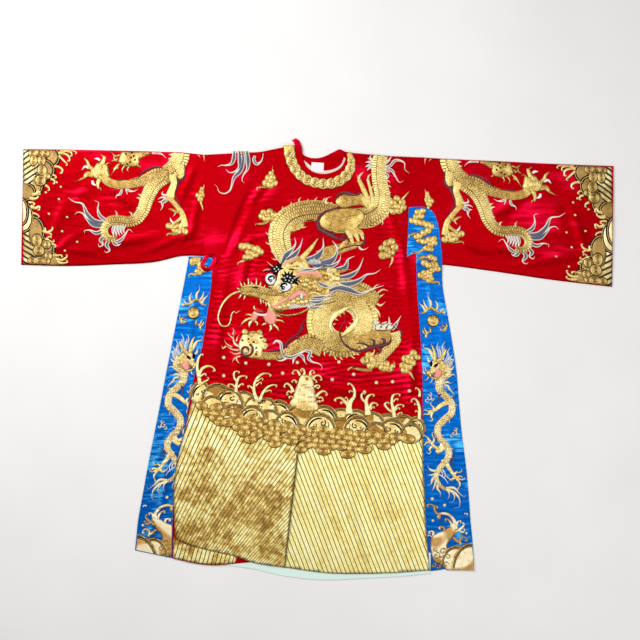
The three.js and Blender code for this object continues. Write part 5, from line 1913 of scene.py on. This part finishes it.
# %% The raised foreleg with its pearl
for work in SLEEVES:
    work.sew("gold", patch([
        (-668, 700), (-660, 706), (-620, 706), (-602, 698), (-604, 680), (-606, 660), (-622, 652),
        (-642, 650), (-662, 656), (-676, 672)], 2.0, 4, 7), 2)
    work.sew("scales", ribbon([(-608, 690, 24), (-590, 698, 20), (-568, 702, 14)], 1.8, 4, 7), 3)
    work.curl("maroon", -658, 676, 15, 40, 1.25, 5.0, 6)
    work.sew("bright", button(-658, 676, 6, 1.2, 2, 8), 6)
    for x, y in ((-650, 696), (-630, 700), (-632, 684), (-620, 676), (-636, 668), (-646, 662), (-624, 690)):
        work.sew("black", button(x, y, 4.0, 0.9, 2, 8), 8.5)
    work.flames("gold", 9, 3, (
        [(-670, 694), (-688, 690), (-696, 698), (-706, 706)], [(-676, 680), (-690, 676), (-704, 670)],
        [(-672, 664), (-684, 652), (-694, 636), (-704, 620)], [(-656, 656), (-664, 640), (-658, 630)],
        [(-640, 654), (-646, 642), (-640, 634)], [(-680, 672), (-692, 684), (-684, 694)],
        [(-612, 660), (-602, 652), (-598, 658)], [(-676, 652), (-686, 646), (-698, 650)]))
    work.flame("slate", [(-562, 700), (-540, 700), (-526, 694), (-514, 682)], 10, 2)
tally("forelegs with pearls", *SLEEVES)

# %% The lower leg and clouds
for work in SLEEVES:
    work.sew("gold", ribbon([
        (-492, 628, 40), (-486, 596, 26), (-496, 566, 30), (-502, 548, 30)], 2.2, 4, 8), 3)
    work.sew("gold", ribbon([
        (-508, 552, 24), (-492, 536, 18), (-474, 514, 18), (-460, 494, 20), (-452, 470, 20),
        (-448, 448, 20)], 2.0, 4, 8), 4)
    for toe in (
            [(-462, 500, 14), (-480, 500, 12), (-496, 508, 8), (-506, 510, 3)],
            [(-458, 484, 14), (-470, 472, 12), (-482, 464, 10), (-494, 452, 12)],
            [(-452, 474, 14), (-462, 456, 12), (-468, 444, 12)]):
        work.sew("gold", ribbon(toe, 1.7, 3.5, 6), 5)
    work.flame("white", [(-488, 462), (-496, 468), (-500, 480)], 9, 6)
    work.flame("white", [(-480, 502), (-484, 492), (-490, 484)], 6, 6)
    cloud(work, [
        (-504, 452, 11), (-490, 448, 11), (-474, 452, 10), (-462, 442, 11), (-450, 434, 11),
        (-472, 434, 10), (-486, 436, 9)],
        [(-462, 430, 12), (-484, 426, 11), (-500, 426, 8), (-510, 424, 5), (-512, 416, 2)], level=4)
    work.sew("maroon", ribbon([
        (-452, 668, 2), (-450, 640, 5), (-452, 618, 8), (-470, 602, 11), (-478, 580, 7), (-484, 558, 5),
        (-474, 536, 5), (-458, 508, 2)], 1.4, 4, 5), 6)
    work.flame("maroon", [(-474, 600), (-478, 618), (-474, 632)], 10, 7)
    work.sew("scales", ribbon([(-470, 660, 36), (-464, 634, 30), (-466, 612, 14)], 2.2, 4, 7), 4)
    work.flames("slate", 11, 5, (
        [(-512, 556), (-528, 560), (-524, 570)], [(-512, 548), (-532, 548), (-542, 542)],
        [(-514, 544), (-526, 532), (-526, 516), (-534, 504)], [(-510, 540), (-520, 534), (-540, 534)]))
    work.flames("cream", 5, 0, (
        [(-408, 697), (-402, 690), (-398, 684)], [(-394, 697), (-386, 690), (-384, 672), (-382, 668)],
        [(-386, 694), (-380, 690), (-376, 684)]))
    cloud(work, [
        (-404, 556, 10), (-394, 568, 9), (-398, 544, 10), (-390, 556, 9), (-392, 578, 7)],
        [(-398, 540, 10), (-394, 524, 7), (-390, 510, 4), (-389, 504, 2)])
    work.flame("gold", [(-392, 576), (-386, 584), (-385, 594)], 7)
tally("lower legs", *SLEEVES)

# %% [markdown]
# ## Cuffs
# The cuff repeats the sea border on its side, with its crests towards the shoulder. The same
# kit serves, with rows that run along the arm, and both cuffs come from one loop.

# %% Cuffs
def water_strip(work, outline, slope):
    """Rows of deep water inside an outline, leaning by the slope."""
    work.sew("water_cuff", water_field(outline, 6.0, (8, 8, 3.5), 0.9,
                                       lambda x, y: y + slope * x, sideways=True))


def side_crest(work, x, y, rx, ry, level, body, low, high):
    """A crest that faces the shoulder; its rim runs from low to high, in degrees."""
    def arc(scale, width):
        a = np.radians(np.linspace(low, high, 13))
        return [(x + rx * scale * math.cos(t), y + ry * scale * math.sin(t), width) for t in a]
    bowl = [(x + rx * math.cos(a), y + ry * math.sin(a)) for a in np.radians(range(-90, 91, 18))]
    bowl += [(x - rx * 0.25, y + ry * 0.5), (x - rx * 0.3, y), (x - rx * 0.25, y - ry * 0.5)]
    work.sew(body, patch(bowl, 1.0, 5, 9), level)
    work.sew("black", ribbon(arc(1.0, 11.5), 1.0, 5, 5), level + 1.6)
    work.sew("cream", ribbon(arc(1.0, 2.8), 0.9, 5, 4), level + 4.6)


THREADS["water_cuff"] = water_rows("water_cuff", 19.0, srgb(84, 54, 20), srgb(146, 104, 50),
                                   srgb(222, 196, 118), 1.2, 0.7, gap_share=0.2,
                                   gap_colour=srgb(20, 12, 4))
SLOTS["water_cuff"] = "gold_couching"

for work in SLEEVES:
    water_strip(work, [(-1001, 712), (-946, 712), (-944, 640), (-948, 585), (-1003, 575)], -0.67)
    water_strip(work, [
        (-1003, 444), (-975, 440), (-950, 400), (-925, 345), (-925, 322), (-1004, 322)], 0.58)
    for x, y, rx, ry, height, body, low, high in (
            (-911, 686, 34, 34, 2, "shell", -84, 84), (-935, 641, 40, 36, 3.5, "shell", -84, 84),
            (-962, 590, 28, 34, 2, "shell", -84, 84), (-1002, 568, 42, 30, 3.2, "shell", -86, 60),
            (-1006, 500, 22, 44, 6.5, "bright", -84, 84), (-1000, 482, 34, 50, 3.0, "bright", -84, 84),
            (-969, 433, 40, 50, 4.2, "shell", -84, 84), (-935, 370, 40, 42, 3.0, "shell", -84, 84),
            (-910, 334, 34, 30, 4.2, "shell", -60, 84)):
        side_crest(work, x, y, rx, ry, height, body, low, high)
tally("cuff crests", *SLEEVES)

# %% Cuff foam and spray
for work in SLEEVES:
    for k, (x, y, rx, ry) in enumerate((
            (-968, 698, 15, 12), (-945, 700, 15, 12), (-924, 698, 15, 14), (-964, 674, 13, 19),
            (-937, 674, 14, 18), (-935, 641, 17, 19), (-940, 606, 19, 19), (-918, 620, 12, 12),
            (-952, 403, 17, 22), (-918, 388, 13, 15), (-946, 368, 19, 19), (-914, 350, 13, 14),
            (-968, 334, 16, 13), (-942, 334, 20, 14), (-920, 332, 13, 12))):
        work.sew("cuff_foam", button(x, y, 1.1 * rx, 1.5, 5, 16, ry / rx, 0.1 * (k % 3 - 1)), 7 + 0.45 * k)
    for rows in (
            [(-880, 700, 12), (-862, 698, 10), (-846, 690, 8), (-842, 676, 6)],
            [(-878, 690, 10), (-868, 680, 8), (-856, 668, 7), (-850, 662, 5)],
            [(-874, 706, 10), (-850, 706, 9), (-836, 700, 7), (-834, 692, 5)],
            [(-850, 706, 9), (-832, 708, 8), (-820, 702, 5)],
            [(-894, 654, 10), (-878, 652, 9), (-866, 642, 8), (-868, 632, 5)],
            [(-898, 626, 9), (-888, 620, 6)], [(-906, 612, 10), (-894, 606, 8), (-892, 598, 5)],
            [(-924, 590, 10), (-914, 584, 8), (-910, 576, 5)],
            [(-968, 560, 14), (-956, 560, 10), (-946, 570, 8), (-942, 562, 5)],
            [(-978, 548, 14), (-962, 544, 12), (-950, 548, 6)],
            [(-974, 520, 12), (-958, 512, 10), (-944, 518, 8), (-944, 508, 5)],
            [(-968, 496, 9), (-954, 492, 7), (-946, 486, 5)], [(-982, 532, 10), (-964, 530, 7)],
            [(-932, 436, 12), (-916, 430, 10), (-902, 438, 8), (-898, 444, 5)],
            [(-926, 446, 8), (-924, 434, 6)], [(-914, 428, 8), (-904, 424, 5)],
            [(-922, 410, 12), (-912, 402, 10), (-898, 398, 6)], [(-916, 412, 7), (-908, 416, 5)],
            [(-902, 392, 10), (-890, 386, 6)], [(-898, 352, 10), (-884, 352, 8), (-870, 352, 6)],
            [(-890, 340, 11), (-872, 336, 10), (-856, 342, 8), (-850, 350, 5)],
            [(-884, 330, 10), (-868, 326, 9), (-852, 328, 6)]):
        jet(work, rows, max(4.0, rows[-1][2]), "bright", 5)
    for x, y in (
            (-872, 585), (-922, 566), (-878, 543), (-912, 493), (-850, 482), (-867, 434), (-816, 398),
            (-858, 368), (-886, 600)):
        work.sew("bright", button(x, y, 5.0, 1.0, 2, 9), 0)
tally("cuff foam and spray", *SLEEVES)

# %% [markdown]
# ## Fin embroidery
# Each blue fin shows one small dragon that climbs towards a flaming pearl, with clouds above
# and a breaking wave below. The two are mirror images, so the motif is drawn once for the
# right fin and carried to the left by its distance from the outer edge.

# %% Fin surfaces
BODY = np.array([
    # y, outer edge left, side seam left, front edge left, side seam right, outer edge right
    (340, -438, -356, -331, 335, 423), (250, -455, -361, -347, 337, 425),
    (150, -475, -375, -366, 344, 442), (50, -495, -390, -384, 351, 459),
    (-50, -515, -416, -404, 356, 473), (-150, -534, -435, -428, 357, 481),
    (-250, -554, -452, -452, 358, 490), (-350, -574, -468, -477, 360, 503),
    (-450, -592, -484, -488, 364, 513), (-550, -610, -492, -486, 368, 520),
    (-609, -616, -493, -484, 371, 526), (-720, -622, -493, -490, 384, 533)], float)[::-1]


def body_edge(column, y):
    return np.interp(y, BODY[:, 0], BODY[:, column])


FIN_FOOT, FIN_TOP, TONGUE_TIP = -717, 345.0, 512
TONGUE_INNER, FAR = 300.0, 1e3
LEFT_HIGHER = 27  # mm that the left fin's motif is above the right one's


def on_right_fin(x, y):
    outer = np.where(y > FIN_TOP, FAR, body_edge(5, y))
    inner = np.where(y > FIN_TOP, TONGUE_INNER, body_edge(4, y))
    return eased(x, inner + 3, outer - 3), eased(y, FIN_FOOT, TONGUE_TIP)


def on_left_fin(x, y):
    x, y = on_right_fin(x, y)
    moved = eased(y + LEFT_HIGHER, -674.0, FIN_TOP)
    across = body_edge(1, moved) + (body_edge(5, y) - x)
    inner = np.minimum(body_edge(2, moved), body_edge(3, moved))
    bottom = -650 - (across + 616) * 0.22
    moved = eased(moved, bottom + 3, FIN_TOP)
    return eased(across, body_edge(1, moved) + 3, inner - 3), moved


left_fin = Needlework("left_fin", fin_top, on_left_fin, mirrored=True)
right_fin = Needlework("right_fin", fin_top, on_right_fin)
FINS = (left_fin, right_fin)
print("fin motif from", FIN_FOOT, "to", TONGUE_TIP, "mm")

# %% Clouds above the pearl
for work in FINS:
    # the tie loop's slot shows bare satin, so the left cloud keeps to the outer side
    loop_above = work is left_fin
    cloud(work, [
        (396, 318, 15), (408, 306, 11), (390, 302, 10), (380, 294, 11), (398, 340, 9), (384, 345, 11),
        (364, 326, 12), (378, 318, 11)][:4 if loop_above else 8],
        () if loop_above else [(384, 346, 14), (366, 346, 11), (348, 344, 10), (336, 344, 5)])
    cloud(work, [
        (366, 278, 12), (380, 282, 11), (388, 272, 9), (378, 266, 9), (362, 292, 10),
        (350, 284, 11)][:4 if loop_above else 6],
        [(380, 268, 12), (394, 260, 10), (408, 262, 8), (414, 256, 5), (408, 248, 2)])
tally("fin clouds", *FINS)

# %% The flaming pearl
for work in FINS:
    work.sew("gold", button(393, 130, 21, 2.2, 3, 18), 1)
    work.sew("black", ribbon([(393 + 21 * math.cos(a), 130 + 21 * math.sin(a), 1.6)
                              for a in np.radians(range(0, 361, 24))], 0.8, 4, 4), 1)
    work.curl("maroon", 392, 138, 12, 30, 1.2, 5.0, 6)
    work.sew("bright", ribbon([(378, 124, 3), (386, 118, 8), (400, 116, 8), (410, 124, 3)], 1.2, 3, 5), 7)
    work.sew("gold", ribbon([
        (350, 154, 5), (364, 160, 9), (376, 172, 10), (390, 174, 8), (402, 164, 9), (416, 158, 9),
        (430, 154, 4)], 1.5, 3.5, 6), 2)
    work.flames("cream", 9, 3, (
        [(366, 160), (360, 176), (348, 188), (344, 196)], [(374, 172), (364, 186), (360, 204)],
        [(384, 174), (384, 194), (376, 208), (376, 226)], [(404, 166), (408, 182), (400, 200)],
        [(418, 158), (424, 168), (430, 176)], [(424, 156), (434, 160), (428, 150)]))
    work.flames("gold", 9, 2, (
        [(416, 102), (430, 96), (436, 106), (424, 116), (424, 134)],
        [(428, 100), (440, 112), (432, 126)], [(424, 108), (414, 108), (410, 104)],
        [(368, 72), (372, 88), (386, 92), (402, 94)], [(374, 86), (366, 98), (362, 112)],
        [(384, 90), (384, 100), (378, 108)], [(366, 84), (360, 92), (356, 102)]))
tally("flaming pearls", *FINS)

# %% The small dragon's body, legs and tail
slim = 0.9
body = [
    (436, -20, 22), (444, -48, 27), (420, -72, 28), (414, -100, 27), (432, -122, 26), (456, -150, 26),
    (456, -182, 26), (430, -208, 26), (410, -232, 25), (412, -262, 25), (436, -292, 25),
    (448, -322, 24), (434, -350, 22), (414, -374, 20), (404, -400, 18), (414, -426, 16), (436, -442, 12)]
body = [(x, y, slim * width) for x, y, width in body]
for work in FINS:
    work.sew("pale_scales", ribbon(body, 2.2, 4.0, 9), 1)
    edging(work, body, -1, 4.5, "cream", 1.5, 1.0)
    edging(work, body, 1, 1.6, "antique", 4.5, 6.0)
    spikes(work, body[2:14], 1, 13, 8, "cream", 0.5, 0.5, 5)
    work.flames("cream", 8, 1, (
        [(452, -2), (462, -2), (470, 4)], [(448, -60), (462, -52), (470, -60)],
        [(430, -88), (444, -92), (452, -104), (464, -100)], [(444, -100), (458, -112), (466, -124)],
        [(426, -84), (440, -78), (454, -82), (462, -78)]))
    for rows in (
            [(446, -146, 19), (432, -151, 17), (416, -160, 15), (402, -172, 13), (386, -178, 11),
            (370, -176, 4)], [(396, -176, 10), (394, -164, 8), (388, -158, 3)],
            [(390, -180, 10), (386, -194, 8), (392, -206, 3)],
            [(384, -178, 9), (374, -188, 7), (366, -186, 3)],
            [(430, -286, 20), (420, -304, 22), (404, -318, 14)],
            [(414, -306, 12), (398, -298, 11), (386, -284, 10), (376, -270, 8), (370, -262, 3)],
            [(390, -288, 9), (396, -272, 7), (392, -262, 3)],
            [(384, -284, 9), (370, -284, 7), (364, -292, 3)],
            [(390, -296, 9), (380, -308, 7), (386, -316, 3)],
            [(426, -340, 18), (438, -356, 17), (448, -372, 14), (458, -386, 12), (472, -404, 12),
            (490, -410, 5)], [(464, -392, 9), (474, -384, 7), (482, -388, 3)],
            [(472, -404, 9), (486, -398, 6), (494, -404, 3)],
            [(466, -402, 9), (452, -410, 7), (446, -404, 3)],
            [(474, -408, 9), (484, -424, 7), (480, -438, 3)]):
        work.sew("bright", ribbon(rows, 1.7, 3.5, 6), 2.5 if rows[0][2] < 14 else 0.4)
    work.flames("cream", 6, 4, (
        [(372, -176), (362, -172), (358, -180)], [(388, -160), (384, -150), (390, -144)],
        [(392, -204), (386, -212), (378, -208)], [(368, -186), (358, -190), (358, -198)],
        [(370, -264), (362, -258), (362, -248)], [(392, -264), (390, -252), (398, -246)],
        [(366, -290), (356, -294), (352, -286)], [(386, -314), (378, -322), (370, -316)],
        [(488, -410), (498, -408), (502, -400)], [(480, -436), (474, -446), (466, -442)],
        [(448, -406), (440, -400), (438, -392)], [(482, -386), (490, -380), (488, -372)]))
    work.flames("maroon", 7, 5, (
        [(424, -116), (414, -124), (412, -140), (414, -154)], [(452, -346), (460, -336), (470, -328)],
        [(452, -346), (458, -356), (452, -366)], [(402, -254), (406, -272), (404, -286)]))
    work.flames("cream", 9, 2, (
        [(404, -380), (388, -378), (378, -370), (374, -360)], [(400, -390), (388, -394), (376, -394)],
        [(398, -398), (390, -410), (386, -424), (372, -430)], [(402, -412), (398, -430), (390, -448)],
        [(408, -420), (408, -440), (418, -456), (416, -470)],
        [(424, -438), (444, -448), (448, -464), (442, -478)],
        [(430, -440), (456, -450), (466, -468), (458, -486), (448, -484)],
        [(436, -442), (468, -456), (484, -484), (480, -504), (462, -506)],
        [(436, -438), (464, -438), (484, -458), (502, -468), (502, -460)]))
    work.flames("silver", 6, 1, (
        [(414, -374), (424, -386), (424, -404)], [(424, -374), (434, -392), (430, -410)],
        [(414, -392), (436, -410), (444, -424)]))
tally("fin bodies", *FINS)

# %% The small dragon's head
for work in FINS:
    for thread, line, width in (
            ("silver", [(416, 0), (414, 22), (406, 38), (410, 56)], 12),
            ("silver", [(424, -4), (428, 22), (424, 42), (433, 60)], 12),
            ("silver", [(432, -12), (444, 6), (442, 24), (450, 38)], 12),
            ("silver", [(438, -22), (450, -8), (452, 6), (460, 16)], 11),
            ("silver", [(442, -30), (454, -20), (458, -8), (466, -4)], 10),
            ("cream", [(442, -38), (456, -34), (464, -24), (470, -20)], 9),
            ("cream", [(394, 0), (386, 20), (376, 34), (362, 38), (358, 54)], 12),
            ("cream", [(388, -14), (376, -4), (374, 8), (366, 14)], 9)):
        work.flame(thread, line, width, 3)
    for line, width in (
            ([(418, 0), (418, 24), (411, 44)], 5), ([(427, -4), (432, 22), (430, 44)], 5),
            ([(435, -14), (446, 4), (446, 22)], 5)):
        work.flame("slate", line, width, 5)
    work.sew("gold", patch([
        (384, -24), (390, -6), (402, 3), (418, 0), (434, -12), (446, -30), (446, -46), (432, -54),
        (420, -64), (408, -70), (398, -68), (396, -58), (384, -61), (373, -57), (368, -46), (374, -37),
        (383, -34)], 2.2, 3.5, 6), 3)
    for points in (
            [(398, -4, 14), (398, 16, 12), (394, 34, 9), (386, 50, 3)],
            [(414, -6, 13), (426, 10, 11), (434, 24, 8), (438, 36, 3)]):
        work.sew("gold", ribbon(points, 1.8, 3.5, 6), 6)
    for x, y, r in (
            (377, -47, 8), (388, -45, 6), (383, -55, 5), (396, -38, 5), (410, -4, 5), (422, -12, 6),
            (432, -26, 6), (438, -40, 6), (426, -38, 5), (412, -20, 5)):
        work.sew("bright", button(x, y, r, 1.6, 3, 10, 0.86, 0.3 * r), 9)
    work.sew("pink", patch([
        (404, -32), (416, -34), (425, -46), (420, -58), (408, -67), (398, -64), (396, -52)], 1.5, 3), 10)
    work.sew("maroon", ribbon([(390, -52, 1.5), (400, -48, 3), (408, -44, 1.5)], 1.0, 3, 4), 13)
    work.sew("bright", ribbon([(384, -60, 4), (396, -66, 7), (410, -68, 4)], 1.4, 3, 5), 13)
    for points in (
            [(380, -12), (388, -4), (391, -16), (388, -27), (382, -22)],
            [(393, -27), (399, -17), (412, -13), (410, -22), (401, -28)]):
        work.sew("black", patch(points, 1.3, 2.5, 5, sharp=True), 12)
    work.sew("white", button(400, -29, 4.6, 1.2, 2, 10), 11)
    work.sew("white", button(386, -29, 3.6, 1.2, 2, 10), 11)
    work.sew("black", button(400, -28, 2.2, 0.8, 1, 8), 15)
    for line, width in (
            ([(368, -50), (358, -44), (360, -32), (367, -27)], 8),
            ([(378, -60), (372, -70), (363, -73)], 6), ([(390, -66), (388, -76), (380, -82)], 6),
            ([(402, -70), (400, -82), (393, -88)], 6), ([(412, -68), (414, -80), (409, -88)], 6),
            ([(422, -60), (432, -70), (434, -80)], 8), ([(370, -42), (366, -32), (373, -24)], 5)):
        work.flame("cream", line, width, 5)
tally("fin heads", *FINS)

# %% Curled clouds and the breaking wave
for work in FINS:
    for x, y in ((378, -132), (464, -252)):
        for dx, dy, r, start, turns in (
                (0, 0, 10, 60, 1.0), (6, 14, 7, 200, -0.9), (-8, -8, 6, -40, 0.8), (12, -4, 6, 20, 0.9)):
            work.curl("cream", x + dx, y + dy, r, start, turns, 4.0, 1)
    work.sew("wave", patch([
        (386, -604), (384, -640), (390, -672), (404, -694), (436, -694), (452, -660), (440, -640),
        (446, -622), (462, -604), (472, -582), (478, -560), (466, -546), (452, -566), (432, -580),
        (414, -588), (398, -596)], 2.2, 4, 8), 1)
    for rows in (
            [(472, -566, 14), (462, -546, 12), (448, -530, 10), (426, -524, 9), (408, -526, 8),
            (398, -514, 8), (394, -498, 7), (378, -494, 6)], [(396, -500, 7), (404, -500, 5)],
            [(412, -526, 8), (416, -536, 6)], [(456, -572, 10), (450, -552, 8), (440, -544, 6)],
            [(432, -586, 9), (428, -572, 8), (418, -570, 6)],
            [(392, -600, 9), (392, -586, 8), (382, -586, 5)], [(390, -606, 7), (380, -598, 4)],
            [(472, -578, 8), (474, -556, 8), (482, -550, 5)],
            [(466, -590, 10), (484, -578, 9), (496, -566, 7), (498, -560, 4)],
            [(480, -582, 9), (494, -588, 7), (500, -582, 4)],
            [(460, -606, 9), (480, -622, 8), (474, -614, 5)],
            [(486, -630, 8), (484, -612, 8), (496, -604, 7), (506, -612, 5)],
            [(498, -526, 6), (506, -524, 4)]):
        jet(work, rows, max(5.0, rows[-1][2] + 1.5), "wave", 5)
    for x, y, r in ((390, -475, 6), (432, -497, 6), (392, -549, 5), (506, -592, 5), (412, -536, 7)):
        work.sew("cream", button(x, y, r, 1.2, 2, 8), 2)
    crest(work, 470, -702, 46, 60, 6, "plain", -1, "wave")
    crest(work, 524, -716, 62, 82, 8, "plain", 1, "wave")
    for x, y, r, start, turns in (
            (404, -668, 13, 90, 1.2), (426, -654, 12, 30, -1.1), (420, -682, 12, 200, 1.2),
            (442, -672, 10, 120, 1.0), (394, -700, 9, 60, 1.0), (436, -698, 10, 10, -1.0),
            (410, -706, 8, 90, 1.0), (398, -646, 8, 40, 1.0)):
        work.curl("gold", x, y, r, start, turns, 4.6, 9)
tally("breaking waves", *FINS)

# %% Clouds on the tongue
cloud(right_fin, [
    (342, 498, 12), (358, 503, 10), (352, 486, 11), (334, 483, 10), (320, 470, 10), (338, 466, 12),
    (356, 462, 12), (374, 455, 12), (388, 450, 9), (376, 436, 11), (360, 428, 11), (346, 418, 11),
    (334, 414, 9)], [(345, 422, 14), (325, 425, 10), (312, 420, 6), (307, 410, 3)])
cloud(right_fin, [
    (346, 404, 11), (362, 398, 11), (380, 404, 12), (396, 408, 10), (398, 394, 10), (384, 388, 10),
    (370, 376, 11), (386, 372, 9)], [(366, 378, 12), (352, 368, 9), (335, 360, 7), (318, 358, 5),
    (312, 352, 2)])
cloud(left_fin, [(396, 308, 10), (408, 300, 10)], [(390, 300, 8), (380, 290, 4)])
tally("tongue clouds", *FINS)

# %% [markdown]
# ## Shoulder tendrils
# The slate tendrils of a second dragon hang over the shoulder, on the under-lap, and one of
# them lies on the front. The rest of that dragon is on the back of the robe.

# %% Shoulder and under-lap
lap = Needlework("lap", flat_at(LAP_TOP))
for line, width in (
        ([(-283, 706), (-284, 682), (-292, 664), (-310, 658), (-326, 658), (-340, 653)], 15),
        ([(-266, 706), (-263, 672), (-266, 650), (-282, 636), (-300, 634), (-312, 646)], 16),
        ([(-254, 706), (-254, 665), (-262, 640), (-284, 615), (-291, 590), (-298, 572), (-318, 562),
        (-334, 568), (-342, 586), (-350, 592)], 16),
        ([(-240, 706), (-236, 672), (-238, 645), (-252, 624), (-256, 606), (-248, 598)], 17)):
    lap.flame("slate", line, width, 1, 1.3)
lap.sew("gold", button(-257, 698, 6.5, 1.6, 2, 10), 4)
front.flame("slate", [
    (-212, 690), (-216, 676), (-206, 662), (-194, 668), (-186, 686), (-184, 700)], 12, 1, 1.2)
THREADS["water_lap"] = THREADS["water_fan"]
SLOTS["water_lap"] = "gold_couching"

# rows of gold along the hem of the under-lap, below the front's own hem
LAP_STRIP = [
    (-490, -603), (-490, -676), (-420, -692), (-352, -699), (-308, -696), (-278, -693), (-274, -664),
    (-400, -632), (-452, -614), (-480, -603)]
lap.sew("water_lap", water_field(LAP_STRIP, 6.0, (9, 9, 3.5), 0.7, lambda x, y: x - 0.29 * y))
tally("lap", lap)

# %% [markdown]
# ## Neck
# The neck has a red binding inside, a gold collar band of overlapping rosettes round it, and a
# plain label sewn to the facing below the back neck. The label is left blank.

# %% Collar, binding and label
COLLAR = [
    (-97, 726, 38), (-93, 690, 38), (-83, 660, 36), (-65, 632, 34), (-36, 609, 34), (2, 597, 34),
    (39, 595, 34), (73, 605, 36), (100, 626, 36), (114, 656, 30), (113, 683, 22), (106, 700, 16)]
collar = Needlework("collar", flat_at(6.0))
collar.sew("antique", ribbon(COLLAR, 2.2, 5.0, 7))
collar_band = collar.piece("collar_band", "antique")
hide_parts("collar_band")
path = along_rows(np.array(COLLAR, float), 14)
for k, (x, y, width) in enumerate(path[1:-1]):
    half = min(width * 0.56, 20)
    height = 3.5 + 1.3 * (k % 2)
    collar.sew("bright", button(x, y, half, 1.6, 4, 18, 1.0, 0.4 * k), height)
    collar.sew("foam", button(x, y, half * 0.8, 1.6, 4, 16, 0.9, 0.7 * k), height + 2.2)
    for turn in range(5):
        a = 0.7 * k + turn * 2 * math.pi / 5
        collar.sew("gold" if turn % 2 else "bright",
                   button(x + half * 0.42 * math.cos(a), y + half * 0.42 * math.sin(a), half * 0.26,
                          1.0, 2, 9, 0.8, a), height + 6.5)

binding = cut_piece("neck_binding", flat_at(7.2), 10, 10, CLOTH, RED_SATIN)
label = cut_piece("neck_label", flat_at(3.6), 8, 8, 0.6, WHITE_TAPE)
tally("collar", collar)

# %% [markdown]
# ## Tie loop
# A bias loop of red satin at the armpit by the under-lap takes the tie that closes the robe.
# It is a padded strap bent into a ring, with a tail sewn under the front's edge. A torus would
# be round in section, and a ribbon keeps the strap's flat one.

# %% Tie loop
LOOP_X, LOOP_Y, LOOP_TURN = -370, 328, 1.0
BEND, STRAIGHT, STRAP = 16, 10, 13.5  # mm: radius of the bends, half the straight part, strap
ring = []
for k in range(25):
    a = 2 * math.pi * k / 24
    along = BEND * math.cos(a) + math.copysign(STRAIGHT, math.cos(a)) * min(1, abs(math.cos(a)) * 3)
    across = BEND * math.sin(a)
    ring.append((LOOP_X + along * math.cos(LOOP_TURN) - across * math.sin(LOOP_TURN),
                 LOOP_Y + along * math.sin(LOOP_TURN) + across * math.cos(LOOP_TURN), STRAP))
loop = Needlework("loop", flat_at(4.5))
loop.sew("red", ribbon(ring, 1.8, 3.0, 7))
loop.sew("red", ribbon([(-353, 336, 12), (-347, 333, 14), (-340, 330, 16)], 0.9, 3.0, 7))
THREADS["red"] = RED_SATIN
tie_loop = loop.piece("tie_loop", "red")
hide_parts("tie_loop")

# %% [markdown]
# ## Joining the stitches
# Everything sewn in one thread on one piece becomes one object. One object for each shape would
# be easier to pick, but there are some 1,600 shapes, and they never move apart.

# %% Join the stitches of each piece
for work in (front, left_sleeve, right_sleeve, left_fin, right_fin, lap, collar):
    work.finish()

# %% [markdown]
# ## Light
# One large soft light over the table gives the satin its broad sheen, and a second from the
# side lets the raised gold and the folds cast small soft shadows. The floor is plain.

# %% Light and floor
def soft_light(name, at, size, power, towards=(0, 0.1, 0)):
    lamp = bpy.data.lights.new(name, "AREA")
    lamp.shape = "RECTANGLE"
    lamp.size, lamp.size_y = size
    lamp.energy = power
    made = bpy.data.objects.new(name, lamp)
    made.location = at
    aim = Vector(towards) - Vector(at)
    made.rotation_euler = aim.to_track_quat("-Z", "Y").to_euler()
    scene.collection.objects.link(made)


soft_light("window", (-2.4, 2.2, 2.4), (1.4, 1.4), 105)
soft_light("strip_left", (-0.75, 0.75, 3.1), (0.35, 1.9), 26, (-0.6, 0.2, 0))
soft_light("strip_right", (0.85, 0.35, 3.1), (0.3, 1.9), 20, (0.7, 0.0, 0))
soft_light("fill", (2.2, -1.6, 2.4), (1.8, 1.8), 30)

world = bpy.data.worlds.new("room")
world.use_nodes = True
world.node_tree.nodes["Background"].inputs["Color"].default_value = (0.92, 0.94, 1.0, 1.0)
world.node_tree.nodes["Background"].inputs["Strength"].default_value = 0.27
scene.world = world

FLOOR_HALF, FLOOR_GAP = 6, 0.0005
corners = [(sx * FLOOR_HALF, sy * FLOOR_HALF, 0) for sx, sy in ((-1, -1), (1, -1), (1, 1), (-1, 1))]
floor_mesh = bpy.data.meshes.new("floor")
floor_mesh.from_pydata(corners, [], [(0, 1, 2, 3)])
floor = bpy.data.objects.new("floor", floor_mesh)
floor.location.z = -FLOOR_GAP
scene.collection.objects.link(floor)
floor_finish = Finish("floor_paper", Specular_IOR_Level=0.2)
floor_finish.colour(floor_finish.mix(floor_finish.noise(3.0), srgb(226, 224, 220),
                                     srgb(236, 234, 231)))
floor_finish.shader.inputs["Roughness"].default_value = 0.8
floor_mesh.materials.append(floor_finish.material)
print("lights:", sorted(lamp.name for lamp in bpy.data.lights))
